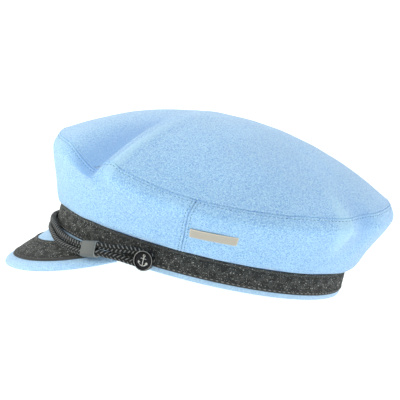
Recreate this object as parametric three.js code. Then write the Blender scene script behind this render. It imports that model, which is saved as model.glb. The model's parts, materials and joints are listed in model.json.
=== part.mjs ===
// A fisherman cap of light blue wool felt: a soft round crown on a head band, with a sloping peak,
// patterned black braids, and a doubled cord held by two slides and two buttons.
//
// Lengths are millimetres and angles are degrees unless a name says otherwise.
// The cap is drawn in the head band's own frame: the wearer looks along -Y, the wearer's left is +X,
// and z = 0 is the band's lower edge. An angle is counted round the band from the front to the left.
// At the end the whole cap is pitched back until the peak and the band's rear edge share one plane.
import * as THREE from "three";

// Head band
const HEAD_LENGTH = 198;
const HEAD_WIDTH = 161.5;
const HEAD_EGG = 0.06; // how much narrower the front is than the rear, as a share of the width
const BAND_HEIGHT = 18.5;
const BAND_WALL = 2.4;
const BAND_HEM = 3.5; // felt left showing below the braid
const BRAID_WALL = 0.8;
const GAP = 0.3; // clearance between neighbouring pieces

// Crown
const CROWN_WALL = 2;
const CROWN_RISE = 50; // from the band's top to the edge seam, at the rear
const CROWN_REACH = 30; // from the band out to the widest line, at the sides
const CROWN_DOME = 34; // from the edge seam up to the crown's highest point
const CROWN_PEAK_BACK = 5.5; // how far behind the band's middle the highest point lies
const SIDE_SEAM_ANGLE = 90; // half way up the panel
const SIDE_SEAM_LEAN = 3.4; // how much further back the seam's top is than its foot
const DENT_DEPTH = 9;
const DENT_FADE = 0.6; // share of the side panel over which the dents fade out, below the edge seam
const SIDE_FOLD_DEPTH = 2.6;

// Peak
const PEAK_REACH = 45.8;
const PEAK_SLOPE = 46.4;
const PEAK_SPAN = 66; // angle at which the peak's edge runs into the band, each side
const PEAK_FULLNESS = 1.2; // lower is squarer, higher is more pointed
const PEAK_SPREAD = 0.29; // how much the sides of the peak turn back
const PEAK_WALL = 3.2;
const PEAK_ROOT_WALL = 2.2;
const PEAK_ROOT_SWELL = 9.6; // distance over which the root's wall grows to the full one
const PEAK_ROOT_HEIGHT = 0.7;
const PEAK_BORDER = 8; // felt left showing outside the peak's braid
const PEAK_BRAID_WIDTH = 21;

// Cord, slides and buttons
const CORD_DIAMETER = 4.4;
const STRAND_GAP = 0.35; // between the two strands where they run side by side
const SLIDE_ANGLE = 54;
const SLIDE_OUT = 8.2; // from the braid to the slide's middle
const SLIDE_LEAN = 14;
const SLIDE_APPROACH = 12; // angle over which the strands turn from the front into the slide
const SLIDE_TURN = 15; // how steeply the slide climbs towards the button
const SLIDE_LENGTH = 12.5;
const SLIDE_WALL = 0.6;
const SLIDE_CORNER = 1.6;
const SLIDE_PLAY = 0.3; // between the slide and the cord
const SLOT_ROUNDNESS = 0.45; // corner radius of the slide's slot, as a share of its depth
const BUTTON_ANGLE = 76.5;
const BUTTON_RADIUS = 7;
const BUTTON_HEIGHT = 7; // of its middle over the band's lower edge
const BUTTON_RIM = 1.1;
const BUTTON_DISC = 2.2;
const BUTTON_RIM_RISE = 0.9;
const SHANK_RADIUS = 1.8;

// Name plate, left bare
const PLATE_LENGTH = 32;
const PLATE_HEIGHT = 8;
const PLATE_WALL = 0.8;
const PLATE_ANGLE = 99.3;
const PLATE_TILT = 2.5; // its rear end is the higher one
const PLATE_SIDE = 0.45; // its middle, as a share of the side panel from the band to the edge seam

// How the crown grows out of the band, at angles from the front: reach as a share of CROWN_REACH,
// rise as a share of CROWN_RISE.
const CROWN_ROUND = [
  { angle: 0, reach: 0.46, rise: 0.95 },
  { angle: 45, reach: 0.8, rise: 0.98 },
  { angle: 90, reach: 1, rise: 0.8 },
  { angle: 135, reach: 0.88, rise: 0.88 },
  { angle: 180, reach: 0.82, rise: 1.02 },
];

// The side panel's section from the band to the edge seam, as shares of its reach and rise.
const SIDE_SECTION = [
  { out: 0, up: 0 },
  { out: 0.27, up: 0.06 },
  { out: 0.57, up: 0.36 },
  { out: 0.93, up: 0.7 },
  { out: 1, up: 0.85 },
  { out: 0.82, up: 1 },
];

// Dents in the crown's top, from the edge inwards: ends in shares of half the crown's width and length,
// depth in shares of DENT_DEPTH, and the widths of the slopes ahead and behind in shares of the crown's
// half width. A negative depth is a ridge.
const TOP_DENTS = [
  { edgeX: 0.8, edgeY: -0.57, endX: -0.24, endY: -0.13, depth: 1, ahead: 0.34, behind: 0.08 },
  { edgeX: 0.87, edgeY: -0.48, endX: -0.06, endY: -0.06, depth: -0.2, ahead: 0.05, behind: 0.08 },
];

// Upright folds in the side panel: depth in shares of SIDE_FOLD_DEPTH, width in degrees round the band.
// Middle and reach say where up the panel a fold lies, as shares from the band to the edge seam.
const SIDE_FOLDS = [
  { angle: 153, depth: 1, width: 9, middle: 0.8, reach: 0.6 },
  { angle: 143, depth: -0.45, width: 7, middle: 0.8, reach: 0.6 },
];

// The doubled cord from the front to the button. Each row: out = from the braid to the strands' middle line,
// height = of that middle line, part = how far the strands part from each other, all in cord diameters;
// lean = how far the upper strand leans in over the lower one, in degrees.
// A lower strand that would sink into the peak lies on it instead.
const CORD_ROUTE = [
  { angle: 0, out: 0.59, height: 0.7, part: 0, lean: 0 },
  { angle: 12, out: 0.68, height: 0.62, part: 0, lean: 4 },
  { angle: 22, out: 0.92, height: 0.36, part: 0, lean: 13 },
  { angle: 32, out: 1.3, height: 0.08, part: 0, lean: 22 },
  { angle: 42, out: 1.7, height: 0, part: 0, lean: 24 },
  { angle: 61, out: 1.6, height: 1.15, part: 0, lean: 6 },
  { angle: 66, out: 1.15, height: 1.42, part: 0.32, lean: 2 },
  { angle: 71, out: 0.72, height: 1.56, part: 0.72, lean: 0 },
];

const FULL_TURN = 360;
const radians = THREE.MathUtils.degToRad;
const mix = THREE.MathUtils.lerp;

// Smooth cubic through values at increasing places.
function smoothCurve(places, values, place) {
  const last = places.length - 1;
  let i = 0;
  while (i < last - 1 && place > places[i + 1]) i += 1;
  const slope = (k) => {
    const before = Math.max(k - 1, 0);
    const after = Math.min(k + 1, last);
    return (values[after] - values[before]) / (places[after] - places[before]);
  };
  const step = places[i + 1] - places[i];
  const t = (place - places[i]) / step;
  const t2 = t * t;
  const t3 = t2 * t;
  return (
    (2 * t3 - 3 * t2 + 1) * values[i] +
    (t3 - 2 * t2 + t) * step * slope(i) +
    (3 * t2 - 2 * t3) * values[i + 1] +
    (t3 - t2) * step * slope(i + 1)
  );
}

// A column of CROWN_ROUND at any angle, the same on both sides and smooth through the front and the rear.
function roundValue(column, angle) {
  const turned = (angle + FULL_TURN / 2) % FULL_TURN;
  const turn = Math.abs(((turned + FULL_TURN) % FULL_TURN) - FULL_TURN / 2);
  const rows = CROWN_ROUND;
  const ahead = rows.slice(1, 3).reverse();
  const behind = rows.slice(-3, -1).reverse();
  const places = [
    ...ahead.map((row) => -row.angle),
    ...rows.map((row) => row.angle),
    ...behind.map((row) => FULL_TURN - row.angle),
  ];
  const values = [...ahead, ...rows, ...behind].map((row) => row[column]);
  return smoothCurve(places, values, turn);
}

function sideValue(column, share) {
  const places = SIDE_SECTION.map((row, i) => i / (SIDE_SECTION.length - 1));
  return smoothCurve(places, SIDE_SECTION.map((row) => row[column]), share);
}

// A smooth hill that is 1 at 0 and ends at -1 and 1.
function hill(x) {
  return Math.abs(x) >= 1 ? 0 : (1 + Math.cos(Math.PI * x)) / 2;
}

// The band's plan: an egg-shaped oval, with a point `out` beyond the head opening, at height z.
function bandPlan(angle) {
  const t = radians(angle);
  const a = HEAD_LENGTH / 2;
  const b = HEAD_WIDTH / 2;
  const x = b * Math.sin(t) * (1 - HEAD_EGG * Math.cos(t));
  const y = -a * Math.cos(t);
  const dx = b * (Math.cos(t) * (1 - HEAD_EGG * Math.cos(t)) + HEAD_EGG * Math.sin(t) ** 2);
  const dy = a * Math.sin(t);
  const speed = Math.hypot(dx, dy);
  return { x, y, outX: dy / speed, outY: -dx / speed };
}

function bandPoint(angle, out, z) {
  const plan = bandPlan(angle);
  return new THREE.Vector3(plan.x + plan.outX * out, plan.y + plan.outY * out, z);
}

const crownHalfWidth = HEAD_WIDTH / 2 + BAND_WALL + CROWN_REACH;
const crownHalfLength = HEAD_LENGTH / 2 + BAND_WALL + CROWN_REACH;
const crownBase = BAND_HEIGHT + GAP;

// The drop of the crown's top at a place in plan.
function topDrop(x, y) {
  let drop = 0;
  for (const dent of TOP_DENTS) {
    const start = new THREE.Vector2(dent.edgeX * crownHalfWidth, dent.edgeY * crownHalfLength);
    const line = new THREE.Vector2(dent.endX * crownHalfWidth, dent.endY * crownHalfLength).sub(start);
    const from = new THREE.Vector2(x, y).sub(start);
    const along = from.dot(line) / line.lengthSq();
    const across = from.cross(line) / line.length();
    const width = (across < 0 ? dent.ahead : dent.behind) * crownHalfWidth;
    drop += DENT_DEPTH * dent.depth * hill(across / width) * hill(Math.max(along, 0));
  }
  return drop;
}

// The crown's outer surface. Travel runs 0 to 1 up the side panel, and 1 to 2 from the edge seam to the
// middle of the top.
function crownPoint(angle, travel) {
  const share = Math.min(travel, 1);
  const reach = CROWN_REACH * roundValue("reach", angle) * sideValue("out", share);
  let inward = 0;
  for (const fold of SIDE_FOLDS) {
    const across = hill((angle - fold.angle) / fold.width);
    inward += SIDE_FOLD_DEPTH * fold.depth * across * hill((share - fold.middle) / fold.reach);
  }
  const rise = CROWN_RISE * roundValue("rise", angle) * sideValue("up", share);
  const point = bandPoint(angle, BAND_WALL + reach - inward, crownBase + rise);
  if (travel <= 1) {
    point.z -= topDrop(point.x, point.y) * hill((1 - travel) / DENT_FADE);
    return point;
  }
  const r = 2 - travel;
  const top = crownBase + CROWN_RISE + CROWN_DOME;
  point.set(point.x * r, mix(CROWN_PEAK_BACK, point.y, r), mix(top, point.z, r * r));
  point.z -= topDrop(point.x, point.y);
  return point;
}

// The crown's outward direction. At the edge seam it is shared by the side panel and the top.
function crownNormal(angle, travel) {
  if (travel >= 2) return new THREE.Vector3(0, 0, 1);
  const turn = 0.5;
  const step = 0.02;
  const round = crownPoint(angle + turn, travel).sub(crownPoint(angle - turn, travel));
  const low = Math.max(travel - step, 0);
  const high = Math.min(travel + step, 2);
  const up = crownPoint(angle, high).sub(crownPoint(angle, low));
  return round.cross(up).normalize();
}

// Indexed triangles as a geometry, turned so that its faces point out.
function solidGeometry(points, triangles) {
  let volume = 0;
  for (const [a, b, c] of triangles) {
    volume += points[a].dot(points[b].clone().cross(points[c]));
  }
  const index = triangles.flatMap(([a, b, c]) => (volume < 0 ? [a, c, b] : [a, b, c]));
  const geometry = new THREE.BufferGeometry().setFromPoints(points);
  geometry.setIndex(index);
  geometry.computeVertexNormals();
  return geometry;
}

// Two triangles for each step from row a to row b.
function strip(rowA, rowB) {
  const triangles = [];
  for (let i = 0; i + 1 < rowA.length; i += 1) {
    triangles.push([rowA[i], rowA[i + 1], rowB[i + 1]]);
    triangles.push([rowA[i], rowB[i + 1], rowB[i]]);
  }
  return triangles;
}

// A wall swept round: each section has the points of its outer face and as many of its inner face.
function wallGeometry(sections, closed) {
  const points = [];
  const loops = sections.map(({ outer, inner }) => {
    const start = points.length;
    points.push(...outer, ...[...inner].reverse());
    return Array.from({ length: outer.length + inner.length }, (unused, i) => start + i);
  });
  const triangles = [];
  const ring = (loop) => [...loop, loop[0]];
  for (let i = 0; i + 1 < loops.length; i += 1) {
    triangles.push(...strip(ring(loops[i]), ring(loops[i + 1])));
  }
  if (closed) {
    triangles.push(...strip(ring(loops.at(-1)), ring(loops[0])));
  } else {
    const half = loops[0].length / 2;
    const faces = (loop) => [loop.slice(0, half), loop.slice(half).reverse()];
    const [firstOuter, firstInner] = faces(loops[0]);
    const [lastOuter, lastInner] = faces(loops.at(-1));
    triangles.push(...strip(firstInner, firstOuter));
    triangles.push(...strip(lastOuter, lastInner));
  }
  return solidGeometry(points, triangles);
}

function material(name, color, roughness, metalness) {
  return new THREE.MeshStandardMaterial({ name, color, roughness, metalness, side: THREE.DoubleSide });
}

const felt = material("wool_felt", 0xa5d2f8, 0.95, 0);
const braid = material("black_braid", 0x3b3c3b, 0.8, 0);
const cordYarn = material("black_cord", 0x232425, 0.65, 0);
const slideFinish = material("grey_slide", 0x6d7371, 0.4, 0.2);
const gunmetal = material("gunmetal", 0x24262a, 0.25, 0.9);
const nickel = material("brushed_nickel", 0xb5b1a8, 0.35, 0.9);

function piece(name, geometry, finish) {
  const mesh = new THREE.Mesh(geometry, finish);
  mesh.name = name;
  return mesh;
}

// Values from one number to another, both included.
function evenly(from, to, steps) {
  return Array.from({ length: steps + 1 }, (unused, i) => mix(from, to, i / steps));
}

// Band and its braid: upright walls round the whole head.
const ROUND_STEPS = 80;
const roundAngles = evenly(-180, 180, ROUND_STEPS).slice(0, -1);

function uprightBand(innerOut, wall, low, high) {
  const sections = roundAngles.map((angle) => ({
    outer: [bandPoint(angle, innerOut + wall, low), bandPoint(angle, innerOut + wall, high)],
    inner: [bandPoint(angle, innerOut, low), bandPoint(angle, innerOut, high)],
  }));
  return wallGeometry(sections, true);
}

const bandFace = BAND_WALL; // out to the felt band's outer face
const braidFace = bandFace + GAP + BRAID_WALL; // out to the braid's outer face

const headBand = piece("head_band", uprightBand(0, BAND_WALL, 0, BAND_HEIGHT), felt);
const bandBraid = piece("band_braid", uprightBand(bandFace + GAP, BRAID_WALL, BAND_HEM, BAND_HEIGHT), braid);

// Side panels: each runs half way round, from the band to the edge seam.
const SIDE_STEPS = 8;
const HALF_STEPS = ROUND_STEPS / 2;

// How much travel half a gap takes, next to the edge seam.
function seamTravel(angle, side) {
  const step = 0.01;
  const length = crownPoint(angle, 1 + side * step).distanceTo(crownPoint(angle, 1));
  return (GAP / 2 / length) * step;
}

// The side seam leans a little, so its angle depends on the height up the panel.
function sideSeamAngle(share) {
  return SIDE_SEAM_ANGLE + SIDE_SEAM_LEAN * (share - 0.5);
}

// A section of a side panel, at the angle that angleAt gives for each share of the way up.
function sideSection(angleAt) {
  const outer = [];
  const inner = [];
  for (const share of evenly(0, 1, SIDE_STEPS)) {
    const angle = angleAt(share);
    const atSeam = share === 1;
    const point = crownPoint(angle, atSeam ? 1 - seamTravel(angle, -1) : share);
    const normal = crownNormal(angle, share);
    if (share === 0) {
      const plan = bandPlan(angle);
      normal.set(plan.outX, plan.outY, 0); // the lower edge stands flat on the band
    }
    outer.push(point);
    inner.push(point.clone().addScaledVector(normal, -CROWN_WALL));
  }
  return { outer, inner };
}

function sidePanel(startAt, endAt) {
  const sections = evenly(0, 1, HALF_STEPS).map((step) => {
    return sideSection((share) => mix(startAt(share), endAt(share), step));
  });
  return wallGeometry(sections, false);
}

// Angle that half a gap takes at the side seams.
const seamPoint = crownPoint(SIDE_SEAM_ANGLE, 0);
const seamGapAngle = GAP / 2 / seamPoint.distanceTo(crownPoint(SIDE_SEAM_ANGLE + 1, 0));

const frontEnd = (share) => sideSeamAngle(share) - seamGapAngle;
const rearStart = (share) => sideSeamAngle(share) + seamGapAngle;
const sideFront = piece("side_front", sidePanel((share) => -frontEnd(share), frontEnd), felt);
const sideRear = piece("side_rear", sidePanel(rearStart, (share) => FULL_TURN - rearStart(share)), felt);

// Crown top: a soft dome from the edge seam to the middle, with its corners opposite the side panels'
// corners.
const crownAngles = [
  ...evenly(-frontEnd(1), frontEnd(1), HALF_STEPS),
  ...evenly(rearStart(1), FULL_TURN - rearStart(1), HALF_STEPS).slice(1, -1),
];
const TOP_SHARES = [1, 0.92, 0.8, 0.66, 0.5, 0.34, 0.17];

function crownTop() {
  const points = [];
  const ringOf = (share, depth) => {
    const start = points.length;
    for (const angle of crownAngles) {
      const travel = share === 1 ? 1 + seamTravel(angle, 1) : 2 - share;
      const normal = crownNormal(angle, 2 - share);
      points.push(crownPoint(angle, travel).addScaledVector(normal, -depth));
    }
    const ring = crownAngles.map((unused, i) => start + i);
    return [...ring, start];
  };
  const middleOf = (depth) => {
    const middle = crownPoint(0, 2);
    middle.z -= depth;
    points.push(middle);
    return points.length - 1;
  };
  const triangles = [];
  const outerRings = TOP_SHARES.map((share) => ringOf(share, 0));
  const innerRings = TOP_SHARES.map((share) => ringOf(share, CROWN_WALL));
  for (let i = 0; i + 1 < TOP_SHARES.length; i += 1) {
    triangles.push(...strip(outerRings[i], outerRings[i + 1]));
    triangles.push(...strip(innerRings[i + 1], innerRings[i]));
  }
  triangles.push(...strip(innerRings[0], outerRings[0]));
  const fan = (ring, middle) => ring.slice(0, -1).map((corner, i) => [corner, ring[i + 1], middle]);
  triangles.push(...fan(outerRings.at(-1), middleOf(0)));
  triangles.push(...fan(innerRings.at(-1), middleOf(CROWN_WALL)).map(([a, b, c]) => [b, a, c]));
  return solidGeometry(points, triangles);
}

const crownTopPiece = piece("crown_top", crownTop(), felt);

// Peak: a padded sloping sheet that grows out of the band's lower edge.
const slope = radians(PEAK_SLOPE);
const PEAK_STEPS = 26;
const PEAK_END = 0.965; // share of the span at which the peak's tips are cut off

function peakWidth(share) {
  return PEAK_REACH * (1 - share * share) ** PEAK_FULLNESS;
}

// A point of the peak: share -1 to 1 across it, along = distance down the slope, depth = under the top face.
function peakPoint(share, along, depth) {
  const root = bandPoint(share * PEAK_SPAN, bandFace + GAP, PEAK_ROOT_HEIGHT);
  const plan = bandPlan(share * PEAK_SPAN);
  const way = new THREE.Vector2(plan.outX * (1 + PEAK_SPREAD), plan.outY * (1 + PEAK_SPREAD) + PEAK_SPREAD);
  way.normalize();
  const out = along * Math.cos(slope) - depth * Math.sin(slope);
  return new THREE.Vector3(
    root.x + way.x * Math.max(out, 0),
    root.y + way.y * Math.max(out, 0),
    root.z - along * Math.sin(slope) - depth * Math.cos(slope),
  );
}

// The peak's section: along as a share of its width, depth as a share of its wall.
const PEAK_SECTION = [
  { along: 0, top: 0, under: 1 },
  { along: 0.2, top: 0, under: 1 },
  { along: 0.45, top: 0, under: 1 },
  { along: 0.7, top: 0, under: 1 },
  { along: 0.93, top: 0.02, under: 0.98 },
  { along: 0.985, top: 0.2, under: 0.8 },
  { along: 1, top: 0.42, under: 0.58 },
];

function peakSection(share) {
  const width = peakWidth(share);
  const wallAt = (along) => mix(PEAK_WALL, PEAK_ROOT_WALL, hill(along / PEAK_ROOT_SWELL));
  const at = (row, side) => {
    const along = row.along * width;
    return peakPoint(share, along, row[side] * wallAt(along));
  };
  return {
    outer: PEAK_SECTION.map((row) => at(row, "top")),
    inner: PEAK_SECTION.map((row) => at(row, "under")),
  };
}

const peakSections = evenly(-PEAK_END, PEAK_END, PEAK_STEPS).map(peakSection);
const peak = piece("peak", wallGeometry(peakSections, false), felt);

// The peak's braid follows its outer edge until it runs into the band on each side.
const PEAK_BRAID_STEPS = 3; // across its width
const peakBraidEnd = Math.sqrt(1 - ((PEAK_BORDER + BRAID_WALL) / PEAK_REACH) ** (1 / PEAK_FULLNESS));

function peakBraidEdges(share) {
  const width = peakWidth(share);
  const outer = width - PEAK_BORDER;
  return { outer, inner: Math.max(outer - PEAK_BRAID_WIDTH, BRAID_WALL + GAP) };
}

function peakBraidSection(share) {
  const edges = peakBraidEdges(share);
  const outer = Math.max(edges.outer, edges.inner + BRAID_WALL);
  const across = evenly(edges.inner, outer, PEAK_BRAID_STEPS);
  return {
    outer: across.map((along) => peakPoint(share, along, -GAP - BRAID_WALL)),
    inner: across.map((along) => peakPoint(share, along, -GAP)),
  };
}

const peakBraidSections = evenly(-peakBraidEnd, peakBraidEnd, PEAK_STEPS).map(peakBraidSection);
const peakBraid = piece("peak_braid", wallGeometry(peakBraidSections, false), braid);

// Height of the peak's face, or of the braid on it, at a distance out from the band's face.
function peakFace(angle, out) {
  const share = Math.min(Math.abs(angle) / PEAK_SPAN, 1);
  const onBraid = out / Math.cos(slope) > peakBraidEdges(share).inner - CORD_DIAMETER;
  const cover = onBraid ? (GAP + BRAID_WALL) / Math.cos(slope) : 0;
  return PEAK_ROOT_HEIGHT - (out - GAP) * Math.tan(slope) + cover;
}

// Slides: flat sleeves round both strands, resting on the peak near its ends.
const cordRadius = CORD_DIAMETER / 2;
const strandSpread = CORD_DIAMETER + STRAND_GAP; // between the strands' middles
const slotHeight = strandSpread + CORD_DIAMETER + 2 * SLIDE_PLAY;
const slotDepth = CORD_DIAMETER + 2 * SLIDE_PLAY;
const slideHeight = slotHeight + 2 * SLIDE_WALL;
const slideDepth = slotDepth + 2 * SLIDE_WALL;
const slideOut = braidFace - bandFace + SLIDE_OUT; // from the felt band's face

function slideMiddleHeight() {
  const lean = radians(SLIDE_LEAN);
  const cornerOut = slideOut + (slideHeight / 2) * Math.sin(lean) - (slideDepth / 2) * Math.cos(lean);
  const cornerDown = (slideHeight / 2) * Math.cos(lean) + (slideDepth / 2) * Math.sin(lean);
  const endDown = (SLIDE_LENGTH / 2) * Math.sin(radians(SLIDE_TURN));
  return peakFace(SLIDE_ANGLE, cornerOut) + GAP / Math.cos(slope) + cornerDown + endDown;
}

const slideMiddle = slideMiddleHeight();

// The strands' middle line and the direction from the lower strand to the upper one.
const buttonSpread = 2 * (SHANK_RADIUS + GAP + cordRadius);
const routeRows = CORD_ROUTE.map((row) => {
  const out = braidFace - bandFace + row.out * CORD_DIAMETER;
  const half = (strandSpread + row.part * CORD_DIAMETER) / 2;
  const lean = radians(row.lean);
  const lowOut = out + half * Math.sin(lean);
  const lowest = peakFace(row.angle, lowOut) + (cordRadius + GAP) / Math.cos(slope) + half * Math.cos(lean);
  return { angle: row.angle, out, half, lean, height: Math.max(row.height * CORD_DIAMETER, lowest) };
});
routeRows.push({
  angle: SLIDE_ANGLE,
  out: slideOut,
  half: strandSpread / 2,
  lean: radians(SLIDE_LEAN),
  height: slideMiddle,
});
routeRows.push({
  angle: BUTTON_ANGLE,
  out: braidFace - bandFace + GAP + cordRadius,
  half: buttonSpread / 2,
  lean: 0,
  height: BUTTON_HEIGHT,
});
routeRows.sort((a, b) => a.angle - b.angle);

function routeAt(angle) {
  const places = routeRows.flatMap((row) => (row.angle > 0 ? [-row.angle, row.angle] : [row.angle]));
  places.sort((a, b) => a - b);
  const at = (column) => {
    const values = places.map((place) => routeRows.find((row) => row.angle === Math.abs(place))[column]);
    return smoothCurve(places, values, angle);
  };
  return { out: at("out"), half: at("half"), lean: at("lean"), height: at("height") };
}

// A strand's middle: side 1 is the upper strand, -1 the lower, 0 between them.
function strandPoint(angle, side) {
  const row = routeAt(angle);
  const out = bandFace + row.out - side * row.half * Math.sin(row.lean);
  return bandPoint(angle, out, row.height + side * row.half * Math.cos(row.lean));
}

// Where a slide sits: its middle, the way along the cord towards the button, and the way up to the upper
// strand.
function slideSeat(handed) {
  const plan = bandPlan(handed * SLIDE_ANGLE);
  const out = new THREE.Vector3(plan.outX, plan.outY, 0);
  const level = new THREE.Vector3(-plan.outY * handed, plan.outX * handed, 0);
  const turn = radians(SLIDE_TURN);
  const lean = radians(SLIDE_LEAN);
  const along = level.clone().multiplyScalar(Math.cos(turn));
  along.z = Math.sin(turn);
  const upright = level.clone().multiplyScalar(-Math.sin(turn));
  upright.z = Math.cos(turn);
  const up = upright.multiplyScalar(Math.cos(lean)).addScaledVector(out, -Math.sin(lean));
  const middle = bandPoint(handed * SLIDE_ANGLE, bandFace + slideOut, slideMiddle);
  return { middle, along, up };
}

const FRONT_ANGLES = evenly(0, SLIDE_ANGLE - SLIDE_APPROACH, 7); // from the front to just before the slide
const REAR_ANGLES = [63, 67, 71, 74]; // from just behind the slide to the button's shank
const SLIDE_RUN = [-0.6, -0.3, 0, 0.3, 0.6]; // straight stretch through the slide, in shares of its length
const SHANK_TURNS = [60, 30, 0, -30, -60];

// One strand from the front to one button.
function strandRun(handed, side) {
  const seat = slideSeat(handed);
  const strand = seat.middle.clone().addScaledVector(seat.up, (side * strandSpread) / 2);
  return [
    ...FRONT_ANGLES.map((angle) => strandPoint(handed * angle, side)),
    ...SLIDE_RUN.map((share) => strand.clone().addScaledVector(seat.along, share * SLIDE_LENGTH)),
    ...REAR_ANGLES.map((angle) => strandPoint(handed * angle, side)),
  ];
}

// The turn round a button's shank, from the upper strand to the lower one.
function shankTurn(handed) {
  const seat = strandPoint(handed * BUTTON_ANGLE, 0);
  const plan = bandPlan(handed * BUTTON_ANGLE);
  const along = new THREE.Vector3(-plan.outY * handed, plan.outX * handed, 0);
  return SHANK_TURNS.map((turn) => {
    const point = seat.clone().addScaledVector(along, Math.cos(radians(turn)) * (buttonSpread / 2));
    point.z += Math.sin(radians(turn)) * (buttonSpread / 2);
    return point;
  });
}

// The whole closed loop: upper strand from right to left, round the left button, lower strand back.
function cordCurve() {
  const points = [
    ...strandRun(-1, 1).slice(1).reverse(),
    ...strandRun(1, 1),
    ...shankTurn(1),
    ...strandRun(1, -1).reverse(),
    ...strandRun(-1, -1).slice(1),
    ...shankTurn(-1).reverse(),
  ];
  return new THREE.CatmullRomCurve3(points, true, "centripetal");
}

const CORD_STEPS = 132;
const CORD_SIDES = 8;
const cord = piece(
  "cord_loop",
  new THREE.TubeGeometry(cordCurve(), CORD_STEPS, cordRadius, CORD_SIDES, true),
  cordYarn,
);

function roundedRectangle(Kind, width, height, corner) {
  const x = width / 2;
  const y = height / 2;
  const path = new Kind();
  path.moveTo(x - corner, -y);
  path.absarc(x - corner, -y + corner, corner, -Math.PI / 2, 0, false);
  path.absarc(x - corner, y - corner, corner, 0, Math.PI / 2, false);
  path.absarc(-x + corner, y - corner, corner, Math.PI / 2, Math.PI, false);
  path.absarc(-x + corner, -y + corner, corner, Math.PI, Math.PI * 1.5, false);
  path.closePath();
  return path;
}

const SLIDE_CORNER_STEPS = 5;

function slide(name, handed) {
  const outline = roundedRectangle(THREE.Shape, slideDepth, slideHeight, SLIDE_CORNER);
  outline.holes.push(roundedRectangle(THREE.Path, slotDepth, slotHeight, slotDepth * SLOT_ROUNDNESS));
  const geometry = new THREE.ExtrudeGeometry(outline, {
    depth: SLIDE_LENGTH,
    bevelEnabled: false,
    curveSegments: SLIDE_CORNER_STEPS,
  });
  geometry.translate(0, 0, -SLIDE_LENGTH / 2);
  const mesh = piece(name, geometry, slideFinish);
  const { middle, along, up } = slideSeat(handed);
  const across = up.clone().cross(along).normalize();
  const turned = new THREE.Matrix4().makeBasis(across, along.clone().cross(across), along);
  mesh.quaternion.setFromRotationMatrix(turned);
  mesh.position.copy(middle);
  return mesh;
}

// Buttons: a rimmed disc on a shank, turned about the line that points straight out from the band.
const BUTTON_SIDES = 24;

function button(name, handed) {
  const under = CORD_DIAMETER + 2 * GAP;
  const face = under + BUTTON_DISC;
  const rim = face + BUTTON_RIM_RISE;
  const profile = [
    [0, 0],
    [SHANK_RADIUS, 0],
    [SHANK_RADIUS, under],
    [BUTTON_RADIUS - BUTTON_RIM, under],
    [BUTTON_RADIUS, under + BUTTON_RIM],
    [BUTTON_RADIUS, rim - BUTTON_RIM / 2],
    [BUTTON_RADIUS - BUTTON_RIM / 2, rim],
    [BUTTON_RADIUS - BUTTON_RIM, face],
    [0, face],
  ];
  const corners = profile.map(([radius, height]) => new THREE.Vector2(radius, height));
  const geometry = new THREE.LatheGeometry(corners, BUTTON_SIDES);
  const mesh = piece(name, geometry, gunmetal);
  const angle = handed * BUTTON_ANGLE;
  const plan = bandPlan(angle);
  mesh.quaternion.setFromUnitVectors(new THREE.Vector3(0, 1, 0), new THREE.Vector3(plan.outX, plan.outY, 0));
  mesh.position.copy(bandPoint(angle, braidFace + GAP, BUTTON_HEIGHT));
  return mesh;
}

// Name plate: a thin bent strip that follows the side panel.
const PLATE_LENGTH_STEPS = 8;
const PLATE_HEIGHT_STEPS = 2;

function sidePlate() {
  const step = 0.02;
  const middle = crownPoint(PLATE_ANGLE, PLATE_SIDE);
  const perDegree = middle.distanceTo(crownPoint(PLATE_ANGLE + 1, PLATE_SIDE));
  const perShare = middle.distanceTo(crownPoint(PLATE_ANGLE, PLATE_SIDE + step)) / step;
  const halfTurn = PLATE_LENGTH / 2 / perDegree;
  const halfShare = PLATE_HEIGHT / 2 / perShare;
  const normal = crownNormal(PLATE_ANGLE, PLATE_SIDE);
  const tilt = Math.tan(radians(PLATE_TILT)) * (perDegree / perShare);
  const angles = evenly(PLATE_ANGLE - halfTurn, PLATE_ANGLE + halfTurn, PLATE_LENGTH_STEPS);
  const sections = angles.map((angle) => {
    const level = PLATE_SIDE + tilt * (angle - PLATE_ANGLE);
    const shares = evenly(level - halfShare, level + halfShare, PLATE_HEIGHT_STEPS);
    const face = shares.map((share) => crownPoint(angle, share));
    const lifted = (lift) => face.map((point) => point.clone().addScaledVector(normal, lift));
    return { outer: lifted(GAP + PLATE_WALL), inner: lifted(GAP) };
  });
  return wallGeometry(sections, false);
}

const cap = new THREE.Group();
cap.name = "cap";
cap.add(headBand, bandBraid, sideFront, sideRear, crownTopPiece, peak, peakBraid, cord);
cap.add(slide("keeper_left", 1), slide("keeper_right", -1));
cap.add(button("button_left", 1), button("button_right", -1));
cap.add(piece("side_plate", sidePlate(), nickel));

// Pitch the cap back until the lowest line of the peak and the band's rear edge lie in one plane.
function restingPitch() {
  const rear = bandPoint(180, bandFace, 0);
  const corners = peak.geometry.getAttribute("position");
  let pitch = 0;
  for (let i = 0; i < corners.count; i += 1) {
    const drop = rear.z - corners.getZ(i);
    pitch = Math.max(pitch, Math.atan2(drop, rear.y - corners.getY(i)));
  }
  return pitch;
}

cap.rotation.x = -restingPitch();
cap.updateMatrixWorld(true);
const extent = new THREE.Box3().setFromObject(cap, true);
const middle = extent.getCenter(new THREE.Vector3());
cap.position.set(-middle.x, -middle.y, -extent.min.z);

const fishermanCap = new THREE.Group();
fishermanCap.add(cap);

export default fishermanCap;
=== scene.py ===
"""Dresses a fisherman cap in felt, patterned braid, braided cord and metal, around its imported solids.

Lengths are metres. Angles are degrees where they run round the band or where a comment says so, and radians
elsewhere. The cap is drawn in its head band's own frame, as the solids are: the wearer looks along -Y, the
wearer's left is +X, z = 0 is the band's lower edge, and an angle is counted round the band from the front to
the left. to_row() then sets the points down in the model's frame.
"""
import json
import math

import bmesh
import bpy
import numpy as np
from mathutils import Matrix, Vector


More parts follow.
